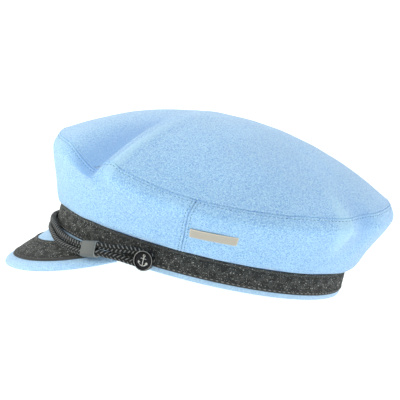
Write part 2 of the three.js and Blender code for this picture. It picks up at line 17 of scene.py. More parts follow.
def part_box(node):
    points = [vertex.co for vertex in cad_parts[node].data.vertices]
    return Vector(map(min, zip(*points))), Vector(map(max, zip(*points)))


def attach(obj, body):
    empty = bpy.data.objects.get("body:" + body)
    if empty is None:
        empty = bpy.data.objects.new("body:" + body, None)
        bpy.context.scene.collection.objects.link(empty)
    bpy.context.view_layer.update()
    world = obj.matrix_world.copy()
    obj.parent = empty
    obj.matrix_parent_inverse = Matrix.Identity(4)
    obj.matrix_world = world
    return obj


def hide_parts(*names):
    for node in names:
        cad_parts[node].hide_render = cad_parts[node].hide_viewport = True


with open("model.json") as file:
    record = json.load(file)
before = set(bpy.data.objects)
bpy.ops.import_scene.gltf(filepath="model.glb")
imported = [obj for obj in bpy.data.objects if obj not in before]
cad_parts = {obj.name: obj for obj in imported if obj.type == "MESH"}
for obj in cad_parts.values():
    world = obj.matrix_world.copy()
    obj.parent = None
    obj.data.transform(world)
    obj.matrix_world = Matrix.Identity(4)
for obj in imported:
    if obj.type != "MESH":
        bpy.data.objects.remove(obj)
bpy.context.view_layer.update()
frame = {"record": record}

bl_info = {
    "name": "Felt fisherman cap",
    "version": (1, 0, 0),
    "blender": (4, 5, 0),
    "location": "3D View > Sidebar > Felt cap",
    "description": "Builds the cap's felt, braids, cord and metal pieces and its studio stage",
    "category": "Object",
}

MM = 0.001

# Head band
HEAD_LENGTH = 198 * MM
HEAD_WIDTH = 161.5 * MM
HEAD_EGG = 0.06
BAND_HEIGHT = 18.5 * MM
BAND_WALL = 2.4 * MM
BAND_HEM = 3.5 * MM
BRAID_WALL = 0.8 * MM
GAP = 0.3 * MM

# Crown
CROWN_WALL = 2 * MM
CROWN_RISE = 50 * MM
CROWN_REACH = 30 * MM
CROWN_DOME = 34 * MM
CROWN_PEAK_BACK = 5.5 * MM
SIDE_SEAM_ANGLE = 90
SIDE_SEAM_LEAN = 3.4
DENT_DEPTH = 9 * MM
DENT_FADE = 0.6
SIDE_FOLD_DEPTH = 2.6 * MM
FOLD_SHADE = 0.6

# Travel at which the top's outer and inner skins close in a tip, just short of its middle.
CROWN_TIP = 1.985
CROWN_INNER_TIP = 1.97

# Peak
PEAK_REACH = 45.8 * MM
PEAK_SLOPE = math.radians(46.4)
PEAK_SPAN = 66
PEAK_FULLNESS = 1.2
PEAK_SPREAD = 0.29
PEAK_WALL = 3.2 * MM
PEAK_ROOT_WALL = 2.2 * MM
PEAK_ROOT_SWELL = 9.6 * MM
PEAK_ROOT_HEIGHT = 0.7 * MM
PEAK_BORDER = 8 * MM
PEAK_BRAID_WIDTH = 21 * MM
PEAK_END = 0.965

# Cord, slides, buttons and plate
CORD_DIAMETER = 4.4 * MM
STRAND_GAP = 0.35 * MM
SLIDE_ANGLE = 54
SLIDE_OUT = 8.2 * MM
SLIDE_LEAN = math.radians(14)
SLIDE_APPROACH = 12
SLIDE_TURN = math.radians(15)
SLIDE_LENGTH = 12.5 * MM
SLIDE_WALL = 0.6 * MM
SLIDE_CORNER = 1.6 * MM
SLIDE_PLAY = 0.3 * MM
SLOT_ROUNDNESS = 0.45
BUTTON_ANGLE = 76.5
BUTTON_RADIUS = 7 * MM
BUTTON_HEIGHT = 7 * MM
BUTTON_RIM = 1.1 * MM
BUTTON_DISC = 2.2 * MM
BUTTON_RIM_RISE = 0.9 * MM
SHANK_RADIUS = 1.8 * MM
PLATE_LENGTH = 32 * MM
PLATE_HEIGHT = 8 * MM
PLATE_WALL = 0.8 * MM
PLATE_ANGLE = 99.3
PLATE_TILT = math.radians(2.5)
PLATE_SIDE = 0.45

# Columns: angle, reach as a share of CROWN_REACH, rise as a share of CROWN_RISE.
CROWN_ROUND = np.array([(0, 0.46, 0.95), (45, 0.8, 0.98), (90, 1, 0.8), (135, 0.88, 0.88), (180, 0.82, 1.02)])

# Columns: out and up, as shares of the side panel's reach and rise.
SIDE_SECTION = np.array([(0, 0), (0.27, 0.06), (0.57, 0.36), (0.93, 0.7), (1, 0.85), (0.82, 1)])

# Dents in the crown's top, as shares of its half width and length, and of DENT_DEPTH. Below 0 is a ridge.
# Columns: edge x, edge y, end x, end y, depth, width ahead, width behind.
TOP_DENTS = [(0.8, -0.57, -0.24, -0.13, 1, 0.34, 0.08), (0.87, -0.48, -0.06, -0.06, -0.2, 0.05, 0.08)]

# Upright folds in the side panel. Columns: angle, depth, width in degrees, middle, reach up the panel.
SIDE_FOLDS = [(153, 1, 9, 0.8, 0.6), (143, -0.45, 7, 0.8, 0.6)]

# The peak's underside. Columns: along as a share of its width, depth as a share of its wall.
PEAK_UNDERSIDE = np.array([(0, 1), (0.2, 1), (0.45, 1), (0.7, 1), (0.93, 0.98), (0.985, 0.8), (1, 0.58)])

# The doubled cord's middle line. Columns: angle, out, height, part, in cord diameters, and lean in degrees.
CORD_ROUTE = [
    (0, 0.59, 0.7, 0, 0), (12, 0.68, 0.62, 0, 4), (22, 0.92, 0.36, 0, 13), (32, 1.3, 0.08, 0, 22),
    (42, 1.7, 0, 0, 24), (61, 1.6, 1.15, 0, 6), (66, 1.15, 1.42, 0.32, 2), (71, 0.72, 1.56, 0.72, 0),
]

# Seams and stitches
SEAM_SLIT = 0.09 * MM
SEAM_GROOVE = 0.35 * MM
SEAM_ROLL = 0.5 * MM
SEAM_ROLL_AT = 0.9 * MM
STITCH_CHANNEL = 0.4 * MM
STITCH_RADIUS = 0.16 * MM
SIDE_STITCH_ENDS = (0.04, 0.955)
BRAID_STITCH_LENGTH = 1.8 * MM
BRAID_STITCH_RADIUS = 0.19 * MM

# Distances from a seam at which the felt's mesh has rows or columns of points.
SEAM_STEPS = np.array([0, 0.15, 0.35, 0.6, 0.85, 1.1, 1.4, 1.7, 1.95, 2.2, 2.5, 3, 3.8, 5]) * MM

# Fineness of the meshes: columns run round or along a piece, rows run up or across it.
CROWN_COLUMNS, CROWN_ROWS = 560, 52
CROWN_INNER_COLUMNS, CROWN_INNER_ROWS = 120, 16
PANEL_COLUMNS, PANEL_ROWS = 260, 34
PANEL_INNER_COLUMNS, PANEL_INNER_ROWS = 60, 12
BAND_COLUMNS, BAND_STEP = 400, 1.5 * MM
PEAK_COLUMNS, PEAK_ROWS = 240, 40
BRAID_COLUMNS, BRAID_ROWS, BRAID_BACK_COLUMNS = 1200, 34, 150
PEAK_BRAID_COLUMNS, PEAK_BRAID_ROWS, PEAK_BRAID_BACK_STEP = 620, 46, 5
CORD_STEP, CORD_AROUND, CORD_CURVE_STEPS = 0.22 * MM, 32, 24
BUTTON_COLUMNS, BUTTON_ROWS = 132, 52
PLATE_COLUMNS, PLATE_STEP = 60, 0.5 * MM
STITCH_COLUMNS, STITCH_PLACES = 900, 4000

UP = np.array([0, 0, 1.0])
BAND_FACE = BAND_WALL
BRAID_FACE = BAND_FACE + GAP + BRAID_WALL
CROWN_BASE = BAND_HEIGHT + GAP
CROWN_HALF_WIDTH = HEAD_WIDTH / 2 + BAND_WALL + CROWN_REACH
CROWN_HALF_LENGTH = HEAD_LENGTH / 2 + BAND_WALL + CROWN_REACH


def evenly(start, end, steps):
    return np.linspace(start, end, steps + 1)


def hermite(t, start, end, leaving, arriving):
    """A cubic from start to end with its slopes at both, for t from 0 to 1."""
    t2, t3 = t * t, t * t * t
    return (
        (2 * t3 - 3 * t2 + 1) * start + (t3 - 2 * t2 + t) * leaving
        + (3 * t2 - 2 * t3) * end + (t3 - t2) * arriving
    )


def smooth_curve(places, values, at):
    """A smooth cubic through values at increasing places."""
    places, values, at = (np.asarray(a, float) for a in (places, values, at))
    last = len(places) - 1
    i = np.searchsorted(places[1:last], at, side="left")
    before, after = np.clip(np.arange(last + 1) - 1, 0, last), np.clip(np.arange(last + 1) + 1, 0, last)
    slopes = (values[after] - values[before]) / (places[after] - places[before])
    step = places[i + 1] - places[i]
    return hermite((at - places[i]) / step, values[i], values[i + 1], step * slopes[i], step * slopes[i + 1])


def round_value(column, angle):
    turn = np.abs((np.asarray(angle, float) + 180) % 360 - 180)
    rows = CROWN_ROUND[:, [0, column]]
    ahead = rows[2:0:-1] * (-1, 1)
    behind = rows[-2:-4:-1] * (-1, 1) + (360, 0)
    table = np.vstack([ahead, rows, behind])
    return smooth_curve(table[:, 0], table[:, 1], turn)


def side_value(column, share):
    return smooth_curve(np.linspace(0, 1, len(SIDE_SECTION)), SIDE_SECTION[:, column], share)


def hill(x):
    """1 at 0, falling smoothly to 0 at -1 and 1."""
    return np.where(np.abs(x) >= 1, 0, (1 + np.cos(np.pi * np.clip(x, -1, 1))) / 2)


def bump_at(distance, place, width):
    return np.exp(-(((distance - place) / width) ** 2))


def band_plan(angle):
    t = np.radians(angle)
    x = HEAD_WIDTH / 2 * np.sin(t) * (1 - HEAD_EGG * np.cos(t))
    y = -HEAD_LENGTH / 2 * np.cos(t)
    dx = HEAD_WIDTH / 2 * (np.cos(t) * (1 - HEAD_EGG * np.cos(t)) + HEAD_EGG * np.sin(t) ** 2)
    dy = HEAD_LENGTH / 2 * np.sin(t)
    speed = np.hypot(dx, dy)
    return x, y, dy / speed, -dx / speed


def band_point(angle, out, z):
    x, y, out_x, out_y = band_plan(angle)
    return np.stack(np.broadcast_arrays(x + out_x * out, y + out_y * out, z), -1)


def band_out(angle):
    """The level direction straight out from the band."""
    out_x, out_y = band_plan(angle)[2:]
    return np.stack([out_x, out_y, 0 * out_x], -1)


def unit(v):
    return v / np.maximum(np.linalg.norm(v, axis=-1, keepdims=True), 1e-12)


def top_drop(x, y):
    drop = 0
    for edge_x, edge_y, end_x, end_y, depth, ahead, behind in TOP_DENTS:
        start = np.array([edge_x * CROWN_HALF_WIDTH, edge_y * CROWN_HALF_LENGTH])
        line = np.array([end_x * CROWN_HALF_WIDTH, end_y * CROWN_HALF_LENGTH]) - start
        from_x, from_y = x - start[0], y - start[1]
        along = (from_x * line[0] + from_y * line[1]) / (line @ line)
        across = (from_x * line[1] - from_y * line[0]) / np.hypot(*line)
        width = np.where(across < 0, ahead, behind) * CROWN_HALF_WIDTH
        drop = drop + DENT_DEPTH * depth * hill(across / width) * hill(np.maximum(along, 0))
    return drop


def side_fold(angle, travel):
    """How far a place of the side panel is folded in, as a share of SIDE_FOLD_DEPTH."""
    inward = 0
    for fold_angle, depth, width, middle, spread in SIDE_FOLDS:
        inward = inward + depth * hill((angle - fold_angle) / width) * hill((travel - middle) / spread)
    return inward


def crown_point(angle, travel):
    """The crown's outer face. Travel runs 0 to 1 up the side panel, and 1 to 2 from the edge seam inwards."""
    angle, travel = np.broadcast_arrays(np.asarray(angle, float), np.asarray(travel, float))
    share = np.minimum(travel, 1)
    reach = CROWN_REACH * round_value(1, angle) * side_value(0, share)
    rise = CROWN_RISE * round_value(2, angle) * side_value(1, share)
    out = BAND_WALL + reach - SIDE_FOLD_DEPTH * side_fold(angle, share)
    point = band_point(angle, out, CROWN_BASE + rise)
    x, y, z = point[..., 0], point[..., 1], point[..., 2]
    side_z = z - top_drop(x, y) * hill((1 - travel) / DENT_FADE)
    r = 2 - travel
    top_x, top_y = x * r, CROWN_PEAK_BACK + (y - CROWN_PEAK_BACK) * r
    top = CROWN_BASE + CROWN_RISE + CROWN_DOME
    top_z = top + (z - top) * r * r - top_drop(top_x, top_y)
    on_top = (travel > 1)[..., None]
    return np.where(on_top, np.stack([top_x, top_y, top_z], -1), np.stack([x, y, side_z], -1))


# The crease sets the felt's painted shade in dents and folds and its painted highlight on ridges.
def crease(angle, travel):
    """How deep a place of the crown lies in a dent or fold, as a share of their depth: below 0 on a ridge."""
    point = crown_point(angle, travel)
    dent = top_drop(point[..., 0], point[..., 1]) / DENT_DEPTH
    return dent * hill((1 - np.minimum(travel, 1)) / DENT_FADE) + FOLD_SHADE * side_fold(angle, travel)


def crown_normal(angle, travel, turn=0.5, step=0.02):
    travel = np.asarray(travel, float)
    around = crown_point(angle + turn, travel) - crown_point(angle - turn, travel)
    low, high = np.maximum(travel - step, 0), np.minimum(travel + step, 2)
    normal = unit(np.cross(around, crown_point(angle, high) - crown_point(angle, low)))
    return np.where((travel >= 2)[..., None], UP, normal)


def soft_unevenness(points, size):
    """Slow hills and hollows of soft felt, a fraction of a millimetre high."""
    x, y, z = (points[..., i] / MM for i in range(3))
    return size * (
        0.5 * np.sin(x / 11 + 0.7 * np.sin(y / 17) + 1.3) * np.sin(y / 13 + 0.4 + z / 23)
        + 0.3 * np.sin((x + y) / 7.3 + 2.1) * np.sin((x - y) / 9.1 + z / 6)
        + 0.2 * np.sin(x / 4.1 + z / 5) * np.sin(y / 4.7 + 0.9)
    )


def seam_relief(distance, sizes):
    """How a felt edge turns into a seam: groove, soft roll, and the channel that its stitches pull in."""
    groove = -bump_at(distance, 0, SEAM_GROOVE)
    roll = 0.4 * bump_at(distance, SEAM_ROLL_AT, SEAM_ROLL)
    channel = -0.3 * bump_at(distance, sizes.seam_to_stitch, STITCH_CHANNEL)
    return sizes.seam_depth * (groove + roll + channel)


def side_seam_angle(share):
    return SIDE_SEAM_ANGLE + SIDE_SEAM_LEAN * (share - 0.5)


# Peak

def peak_width(share):
    return PEAK_REACH * (1 - share * share) ** PEAK_FULLNESS


def peak_point(share, along, depth):
    """A point of the peak: share -1 to 1 across it, along = down the slope, depth = under the top face."""
    root = band_point(share * PEAK_SPAN, BAND_FACE + GAP, PEAK_ROOT_HEIGHT)
    way = unit(band_out(share * PEAK_SPAN)[..., :2] * (1 + PEAK_SPREAD) + (0, PEAK_SPREAD))
    out = np.maximum(along * math.cos(PEAK_SLOPE) - depth * math.sin(PEAK_SLOPE), 0)
    down = along * math.sin(PEAK_SLOPE) + depth * math.cos(PEAK_SLOPE)
    x, y = (root[..., i] + way[..., i] * out for i in (0, 1))
    return np.stack(np.broadcast_arrays(x, y, root[..., 2] - down), -1)


def peak_wall(along):
    return PEAK_WALL + (PEAK_ROOT_WALL - PEAK_WALL) * hill(along / PEAK_ROOT_SWELL)


def peak_braid_edges(share):
    outer = peak_width(share) - PEAK_BORDER
    return outer, np.maximum(outer - PEAK_BRAID_WIDTH, BRAID_WALL + GAP)


def resting_pitch():
    """The pitch that sets the peak's tip and the band's rear edge on one plane."""
    rear_y = band_point(180.0, BAND_FACE, 0.0)[1]
    along = PEAK_UNDERSIDE[:, 0] * PEAK_REACH
    low = peak_point(0.0, along, PEAK_UNDERSIDE[:, 1] * peak_wall(along))
    return float(np.max(np.arctan2(-low[:, 2], rear_y - low[:, 1])))


PITCH = resting_pitch()
BAND_SIDES = 80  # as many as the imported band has


def pitched(points):
    turn = np.array([
        [1, 0, 0],
        [0, math.cos(PITCH), math.sin(PITCH)],
        [0, -math.sin(PITCH), math.cos(PITCH)],
    ])
    return np.asarray(points, float) @ turn.T


def frame_shift():
    """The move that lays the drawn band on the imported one."""
    angles = evenly(-180, 180, BAND_SIDES)
    rings = [band_point(angles, out, z) for out in (0, BAND_WALL) for z in (0, BAND_HEIGHT)]
    return np.array(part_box("head_band")[0]) - pitched(np.concatenate(rings)).min(0)


SHIFT = frame_shift()


def to_row(points):
    return pitched(points) + SHIFT


# Meshes

def grid_index(rows, columns, first=0, closed=False):
    """Point numbers of a grid, with the first column again at the end of a closed one."""
    index = first + np.arange(rows * columns).reshape(rows, columns)
    return np.concatenate([index, index[:, :1]], 1) if closed else index


def grid_quads(index):
    corners = [index[:-1, :-1], index[:-1, 1:], index[1:, 1:], index[1:, :-1]]
    return np.stack(corners, -1).reshape(-1, 4).tolist()


def zip_rows(a, b):
    """Triangles between two rows of point numbers that may differ in count."""
    faces = []
    i = j = 0
    while i < len(a) - 1 or j < len(b) - 1:
        a_next, b_next = (i + 1) / max(len(a) - 1, 1), (j + 1) / max(len(b) - 1, 1)
        if j == len(b) - 1 or (i < len(a) - 1 and a_next <= b_next):
            faces.append((a[i], a[i + 1], b[j]))
            i += 1
        else:
            faces.append((a[i], b[j + 1], b[j]))
            j += 1
    return faces


def add_object(name, data):
    added = bpy.data.objects.new(name, data)
    bpy.context.scene.collection.objects.link(added)
    return added


def make_piece(name, points, faces, finish, replaces=(), uv=None, wrap=0, values=None, sharp=None):
    """A mesh object in the model's frame that rides on the cap's one body.

    Places along a closed piece start again after its length, wrap: a face over that join gets them unbroken.
    """
    mesh = bpy.data.meshes.new(name)
    mesh.from_pydata(to_row(points).tolist(), [], faces)
    shell = bmesh.new()
    shell.from_mesh(mesh)
    bmesh.ops.recalc_face_normals(shell, faces=shell.faces)
    shell.to_mesh(mesh)
    shell.free()
    if uv is not None:
        corners = np.zeros(len(mesh.loops), int)
        mesh.loops.foreach_get("vertex_index", corners)
        starts = np.zeros(len(mesh.polygons), int)
        mesh.polygons.foreach_get("loop_start", starts)
        places = np.asarray(uv, float)[corners]
        if wrap:
            high, low = np.maximum.reduceat(places[:, 0], starts), np.minimum.reduceat(places[:, 0], starts)
            counts = np.diff(np.append(starts, len(corners)))
            split = np.repeat(high - low > wrap / 2, counts)
            places[split & (places[:, 0] < wrap / 2), 0] += wrap
        layer = mesh.uv_layers.new(name="lay")
        layer.uv.foreach_set("vector", places.astype(np.float32).ravel())
    for key, value in (values or {}).items():
        attribute = mesh.attributes.new(key, "FLOAT", "POINT")
        attribute.data.foreach_set("value", np.asarray(value, np.float32).ravel())
    mesh.shade_smooth()
    if sharp:
        mesh.set_sharp_from_angle(angle=math.radians(sharp))
    mesh.materials.append(finish)
    piece = add_object(name, mesh)
    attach(piece, "root")
    if replaces:
        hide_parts(*replaces)
    return piece


def shell_mesh(outer, inner, closed=False, tip=False):
    """A closed wall between an outer and an inner grid of points, which may differ in fineness."""
    first_inner = len(outer) * outer.shape[1]
    points = [outer.reshape(-1, 3), inner.reshape(-1, 3)]
    out_index = grid_index(*outer.shape[:2], 0, closed)
    in_index = grid_index(*inner.shape[:2], first_inner, closed)
    faces = grid_quads(out_index) + [quad[::-1] for quad in grid_quads(in_index)]
    faces += zip_rows(in_index[0].tolist(), out_index[0].tolist())
    if tip:
        count = first_inner + len(points[1])
        points += [outer[-1].mean(0)[None], inner[-1].mean(0)[None]]
        faces += [(int(a), int(b), count) for a, b in zip(out_index[-1][:-1], out_index[-1][1:])]
        faces += [(int(b), int(a), count + 1) for a, b in zip(in_index[-1][:-1], in_index[-1][1:])]
    else:
        faces += zip_rows(out_index[-1].tolist(), in_index[-1].tolist())
    if not closed:
        faces += zip_rows(out_index[:, 0].tolist(), in_index[:, 0].tolist())
        faces += zip_rows(in_index[:, -1].tolist(), out_index[:, -1].tolist())
    return np.concatenate(points), faces


def tube_mesh(loops, closed):
    """A band of closed section loops, shape (along, around, 3), capped at its ends or joined into a ring."""
    index = grid_index(*loops.shape[:2])
    wrapped = grid_index(*loops.shape[:2], 0, True)
    if closed:
        wrapped = np.concatenate([wrapped, wrapped[:1]], 0)
    quads = np.stack([wrapped[:-1, :-1], wrapped[1:, :-1], wrapped[1:, 1:], wrapped[:-1, 1:]], -1)
    faces = quads.reshape(-1, 4).tolist()
    if not closed:
        faces += [index[0].tolist(), index[-1][::-1].tolist()]
    return loops.reshape(-1, 3), faces


def join_meshes(parts):
    points, faces, start = [], [], 0
    for mark, sides in parts:
        points.append(mark)
        faces += [[start + i for i in face] for face in sides]
        start += len(mark)
    return np.concatenate(points), faces


def run_along(points, axis=0):
    """Distances along rows of points from their first ones."""
    steps = np.linalg.norm(np.diff(points, axis=axis), axis=-1)
    return np.concatenate([np.zeros_like(steps.take([0], axis)), np.cumsum(steps, axis)], axis)


def resample(path, count, closed=False):
    """Points at even distances along a path, and its length. Columns past the third go along with them."""
    path = np.concatenate([path, path[:1]]) if closed else path
    lengths = run_along(path[:, :3])
    at = np.linspace(0, lengths[-1], count + 1)[: count if closed else None]
    return np.stack([np.interp(at, lengths, path[:, i]) for i in range(path.shape[1])], -1), lengths[-1]


def thread_marks(path, normals, pitch, length, radius, closed=False):
    """One row of stitches: each a short thread that rises from the cloth and goes back into it."""
    joined, total = resample(np.concatenate([path, normals], 1), STITCH_PLACES, closed)
    count = max(int(round(total / pitch)), 1)
    middles = (np.arange(count) + 0.5) * (len(joined) / count)
    index = middles.astype(int) % len(joined)
    reach = 4
    ahead, behind = index + reach, index - reach
    if closed:
        ahead, behind = ahead % len(joined), behind % len(joined)
    else:
        ahead, behind = np.minimum(ahead, len(joined) - 1), np.maximum(behind, 0)
    middle, normal = joined[index, :3], unit(joined[index, 3:])
    along = unit(joined[ahead, :3] - joined[behind, :3])
    across = unit(np.cross(normal, along))
    normal = np.cross(along, across)
    places = np.array([-1, -0.75, -0.3, 0.3, 0.75, 1]) * length / 2
    heights = radius * np.array([-1.6, -0.1, 0.55, 0.55, -0.1, -1.6])
    thickness = radius * np.array([0.7, 1, 1, 1, 1, 0.7])
    turns = np.radians(np.arange(6) * 60)
    line = middle[:, None] + along[:, None] * places[:, None] + normal[:, None] * heights[:, None]
    ring = across[:, None, None] * np.cos(turns)[:, None] + normal[:, None, None] * np.sin(turns)[:, None]
    loops = line[:, :, None] + ring * thickness[:, None, None]
    return join_meshes([tube_mesh(loop, False) for loop in loops])


# Finishes

def shader_operator(operation, reflected=False):
    def apply(self, other):
        first, second = (other, self) if reflected else (self, other)
        return self.finish.node("ShaderNodeMath", {"operation": operation}, {0: first, 1: second})
    return apply


class Value:
    """A shader socket that Python's own operators work on."""

    def __init__(self, finish, socket):
        self.finish = finish
        self.socket = socket

    __add__ = shader_operator("ADD")
    __radd__ = shader_operator("ADD", reflected=True)
    __sub__ = shader_operator("SUBTRACT")
    __rsub__ = shader_operator("SUBTRACT", reflected=True)
    __mul__ = shader_operator("MULTIPLY")
    __rmul__ = shader_operator("MULTIPLY", reflected=True)


class Finish:
    """The nodes of one material, or of the studio's surroundings."""

    def __init__(self, owner):
        owner.use_nodes = True
        self.owner = owner
        self.tree = owner.node_tree
        self.tree.nodes.clear()

    def node(self, kind, settings=None, sockets=None, output=0):
        made = self.tree.nodes.new(kind)
        for key, value in (settings or {}).items():
            setattr(made, key, value)
        for key, value in (sockets or {}).items():
            if isinstance(value, Value):
                self.tree.links.new(value.socket, made.inputs[key])
            else:
                made.inputs[key].default_value = value
        return Value(self, made.outputs[output])

    def other_output(self, value, name):
        return Value(self, value.socket.node.outputs[name])

    def sine(self, place, length):
        """A wave of one length along a place."""
        return self.node("ShaderNodeMath", {"operation": "SINE"}, {0: place * (2 * math.pi / length)})

    def place(self):
        return self.node("ShaderNodeTexCoord", output="Object")

    def lay(self):
        """Places along and across a piece, counted in its own length and width."""
        along = self.node("ShaderNodeSeparateXYZ", {}, {0: self.node("ShaderNodeUVMap", {"uv_map": "lay"})})
        return along, self.other_output(along, "Y")

    def noise(self, size, detail=2, distortion=0, where=None):
        look = {"Scale": 1 / size, "Detail": detail, "Distortion": distortion}
        return self.node("ShaderNodeTexNoise", {}, {"Vector": where or self.place(), **look})

    def ramp(self, factor, low, high):
        return self.node("ShaderNodeMapRange", {"interpolation_type": "SMOOTHSTEP"},
                         {"Value": factor, "From Min": low, "From Max": high})

    def mix(self, factor, a, b):
        return self.node("ShaderNodeMix", {"data_type": "RGBA"}, {0: factor, 6: a, 7: b}, output=2)

    def stored(self, name):
        return self.node("ShaderNodeAttribute", {"attribute_name": name}, output="Fac")

    def bump(self, height, distance, strength=1.0, normal=None):
        sockets = {"Height": height, "Distance": distance, "Strength": strength}
        if normal:
            sockets["Normal"] = normal
        return self.node("ShaderNodeBump", {}, sockets)

    def close(self, shader, kind="ShaderNodeOutputMaterial"):
        end = self.tree.nodes.new(kind)
        self.tree.links.new(shader.socket, end.inputs["Surface"])
        return self.owner

    def surface(self, **sockets):
        named = {key.replace("_", " "): value for key, value in sockets.items()}
        return self.close(self.node("ShaderNodeBsdfPrincipled", {}, named))


def rgba(colour, factor=1.0):
    return tuple(min(c * factor, 1) for c in colour) + (1,)


def made_once(build):
    """Each finish is made the first time that a piece asks for it."""
    name = "finish_" + build.__name__

    def finish(sizes):
        return bpy.data.materials.get(name) or build(sizes, Finish(bpy.data.materials.new(name)))
    return finish


@made_once
def wool_felt(sizes, felt):
    drift = felt.ramp(felt.noise(38 * MM, 2), 0.35, 0.65)
    clumps = felt.noise(2.6 * MM, 2, 0.5)
    grain = felt.noise(0.88 * MM, 2, 0.8)
    fibres = felt.noise(0.5 * MM, 2, 3)
    tone = felt.mix(drift, rgba(sizes.felt_colour, 0.95), rgba(sizes.felt_colour, 1.03))
    shade = felt.mix(felt.ramp(grain, 0.38, 0.56), rgba(sizes.felt_deep_colour), tone)
    pale = felt.ramp(felt.noise(0.9 * MM, 2, 0.8), 0.52, 0.62) * 0.7
    shade = felt.mix(pale, shade, rgba(sizes.felt_pale_colour))
    # Painted shade and highlight: felt in the crown's dents and folds is painted deeper, and on their ridges
    # paler.
    hollow_shade = felt.ramp(felt.stored("crease"), 0.05, 0.8)
    crest_highlight = felt.ramp(felt.stored("crease"), -0.02, -0.18)
    shade = felt.mix(hollow_shade * 0.65, shade, rgba(sizes.felt_deep_colour))
    shade = felt.mix(crest_highlight * 0.5, shade, rgba(sizes.felt_pale_colour))
    # Painted light: the head band and peak are painted paler all over.
    shade = felt.mix(felt.stored("painted_light"), shade, rgba(sizes.felt_painted_light_colour))
    nap = felt.bump(grain * 0.6 + fibres * 0.4, 0.6 * MM, 0.9)
    pelt = felt.bump(clumps, 0.7 * MM, 0.35, nap)
    return felt.surface(Base_Color=shade, Roughness=0.86 + 0.12 * grain, Normal=pelt, Specular_IOR_Level=0.1,
                        Sheen_Weight=sizes.felt_sheen, Sheen_Roughness=0.4)


def sewing_thread(thread, dark, pale, roughness):
    lay = thread.noise(0.5 * MM, 2, 1)
    nap = thread.bump(lay, 0.1 * MM, 0.4)
    return thread.surface(Base_Color=thread.mix(lay, dark, pale), Roughness=roughness, Normal=nap)


# Painted shade: the felt's stitches are coloured far darker than the felt, for the shade round the stitch
# holes; the thread itself is felt-coloured.
@made_once
def shade_darkened_felt_thread(sizes, thread):
    return sewing_thread(thread, rgba(sizes.felt_deep_colour, 0.27), rgba(sizes.felt_deep_colour, 0.48), 0.7)


@made_once
def braid_thread(sizes, thread):
    return sewing_thread(thread, rgba(sizes.stitch_colour, 0.8), rgba(sizes.stitch_colour), 0.6)


@made_once
def black_braid(sizes, braid):
    along, across = braid.lay()
    pick = braid.sine(along, 0.7 * MM)
    rib = braid.sine(across, 0.6 * MM)
    weave = pick * rib * 0.5 + 0.5
    raised = braid.stored("relief")
    floats = braid.ramp(braid.noise(0.7 * MM, 2, 1.5), 0.52, 0.64)
    glints = braid.ramp(braid.noise(0.8 * MM, 1, 0.5), 0.64, 0.72)
    drift = braid.noise(9 * MM, 2)
    pit_shade = braid.ramp(braid.noise(0.8 * MM, 2, 1), 0.49, 0.57)
    figure_part = braid.ramp(raised, 0.1, 0.5)
    outline = braid.ramp(raised, 0.0, 0.12) * (1 - braid.ramp(raised, 0.3, 0.6))
    # Painted light and shade: the ground is darker in the weave's dips and lighter on its tops; the raised
    # figure is painted lighter, a painted sheen.
    ground = braid.mix(weave, rgba(sizes.braid_colour, 0.5), rgba(sizes.braid_colour, 1.2))
    figure = braid.mix(drift, rgba(sizes.braid_colour, 1.0), rgba(sizes.braid_colour, 1.6))
    shade = braid.mix(figure_part, ground, figure)
    # Loose floats of thread painted in their lit colour: real floats with a painted highlight.
    shade = braid.mix(floats * (0.25 + 0.2 * figure_part), shade, rgba(sizes.braid_float_colour))
    shade = braid.mix(outline * 0.5, shade, rgba(sizes.braid_float_colour, 0.8))
    # Painted shade in the pits between the threads.
    shade = braid.mix(pit_shade * 0.8, shade, rgba(sizes.braid_colour, 0.2))
    # Painted glints on the threads, most on the figure.
    shade = braid.mix(glints * (0.6 + 0.3 * figure_part), shade, rgba(sizes.braid_float_colour, 3.2))
    # The plain selvedges in their own colour, lighter and darker along the rib: painted light and shade.
    edge = braid.mix(rib * 0.5 + 0.5, rgba(sizes.braid_edge_colour, 0.8), rgba(sizes.braid_edge_colour, 1.3))
    shade = braid.mix(braid.stored("selvedge"), shade, edge)
    relief = braid.bump(weave + floats, 0.2 * MM, 0.7)
    return braid.surface(Base_Color=shade, Roughness=0.8 - 0.2 * raised, Normal=relief,
                         Specular_IOR_Level=0.2)


@made_once
def black_cord(sizes, cord):
    raised = cord.stored("relief")
    along, across = cord.lay()
    threads = cord.sine(along + across * (cord.stored("lay_side") * 2 - 1), 0.36 * MM) * 0.5 + 0.5
    # Painted shade and highlight: the yarns are painted darker towards the grooves between them and lighter
    # on top, and their crests carry a painted highlight.
    yarn = cord.mix(cord.ramp(raised, 0.5, 0.85), rgba(sizes.cord_colour, 0.35), rgba(sizes.cord_colour, 1.2))
    crest_highlight = cord.ramp(cord.stored("crest_highlight"), 0.1, 0.8) * (0.6 + 0.4 * threads)
    shade = cord.mix(crest_highlight * 0.85, yarn, rgba(sizes.cord_crest_colour))
    relief = cord.bump(threads, 0.08 * MM, 0.5)
    return cord.surface(Base_Color=shade, Roughness=0.6, Normal=relief, Specular_IOR_Level=0.15)


@made_once
def grey_slide(sizes, slide):
    cloud = slide.noise(6 * MM, 3)
    scuffs = slide.ramp(slide.noise(0.7 * MM, 3, 1.5), 0.6, 0.72)
    shade = slide.mix(cloud, rgba(sizes.slide_colour, 0.66), rgba(sizes.slide_colour, 0.76))
    shade = slide.mix(scuffs * 0.12, shade, rgba(sizes.slide_colour, 1.5))
    # Painted highlight on the slide's bevelled ends, and painted shade inside its slot.
    shade = slide.mix(slide.stored("edge_highlight"), shade, rgba(sizes.slide_colour, 2.6))
    shade = slide.mix(slide.stored("inside"), shade, rgba(sizes.slide_colour, 0.1))
    return slide.surface(Base_Color=shade, Roughness=0.42 + 0.12 * cloud, Specular_IOR_Level=0.3,
                         Normal=slide.bump(scuffs, 0.03 * MM, 0.3))


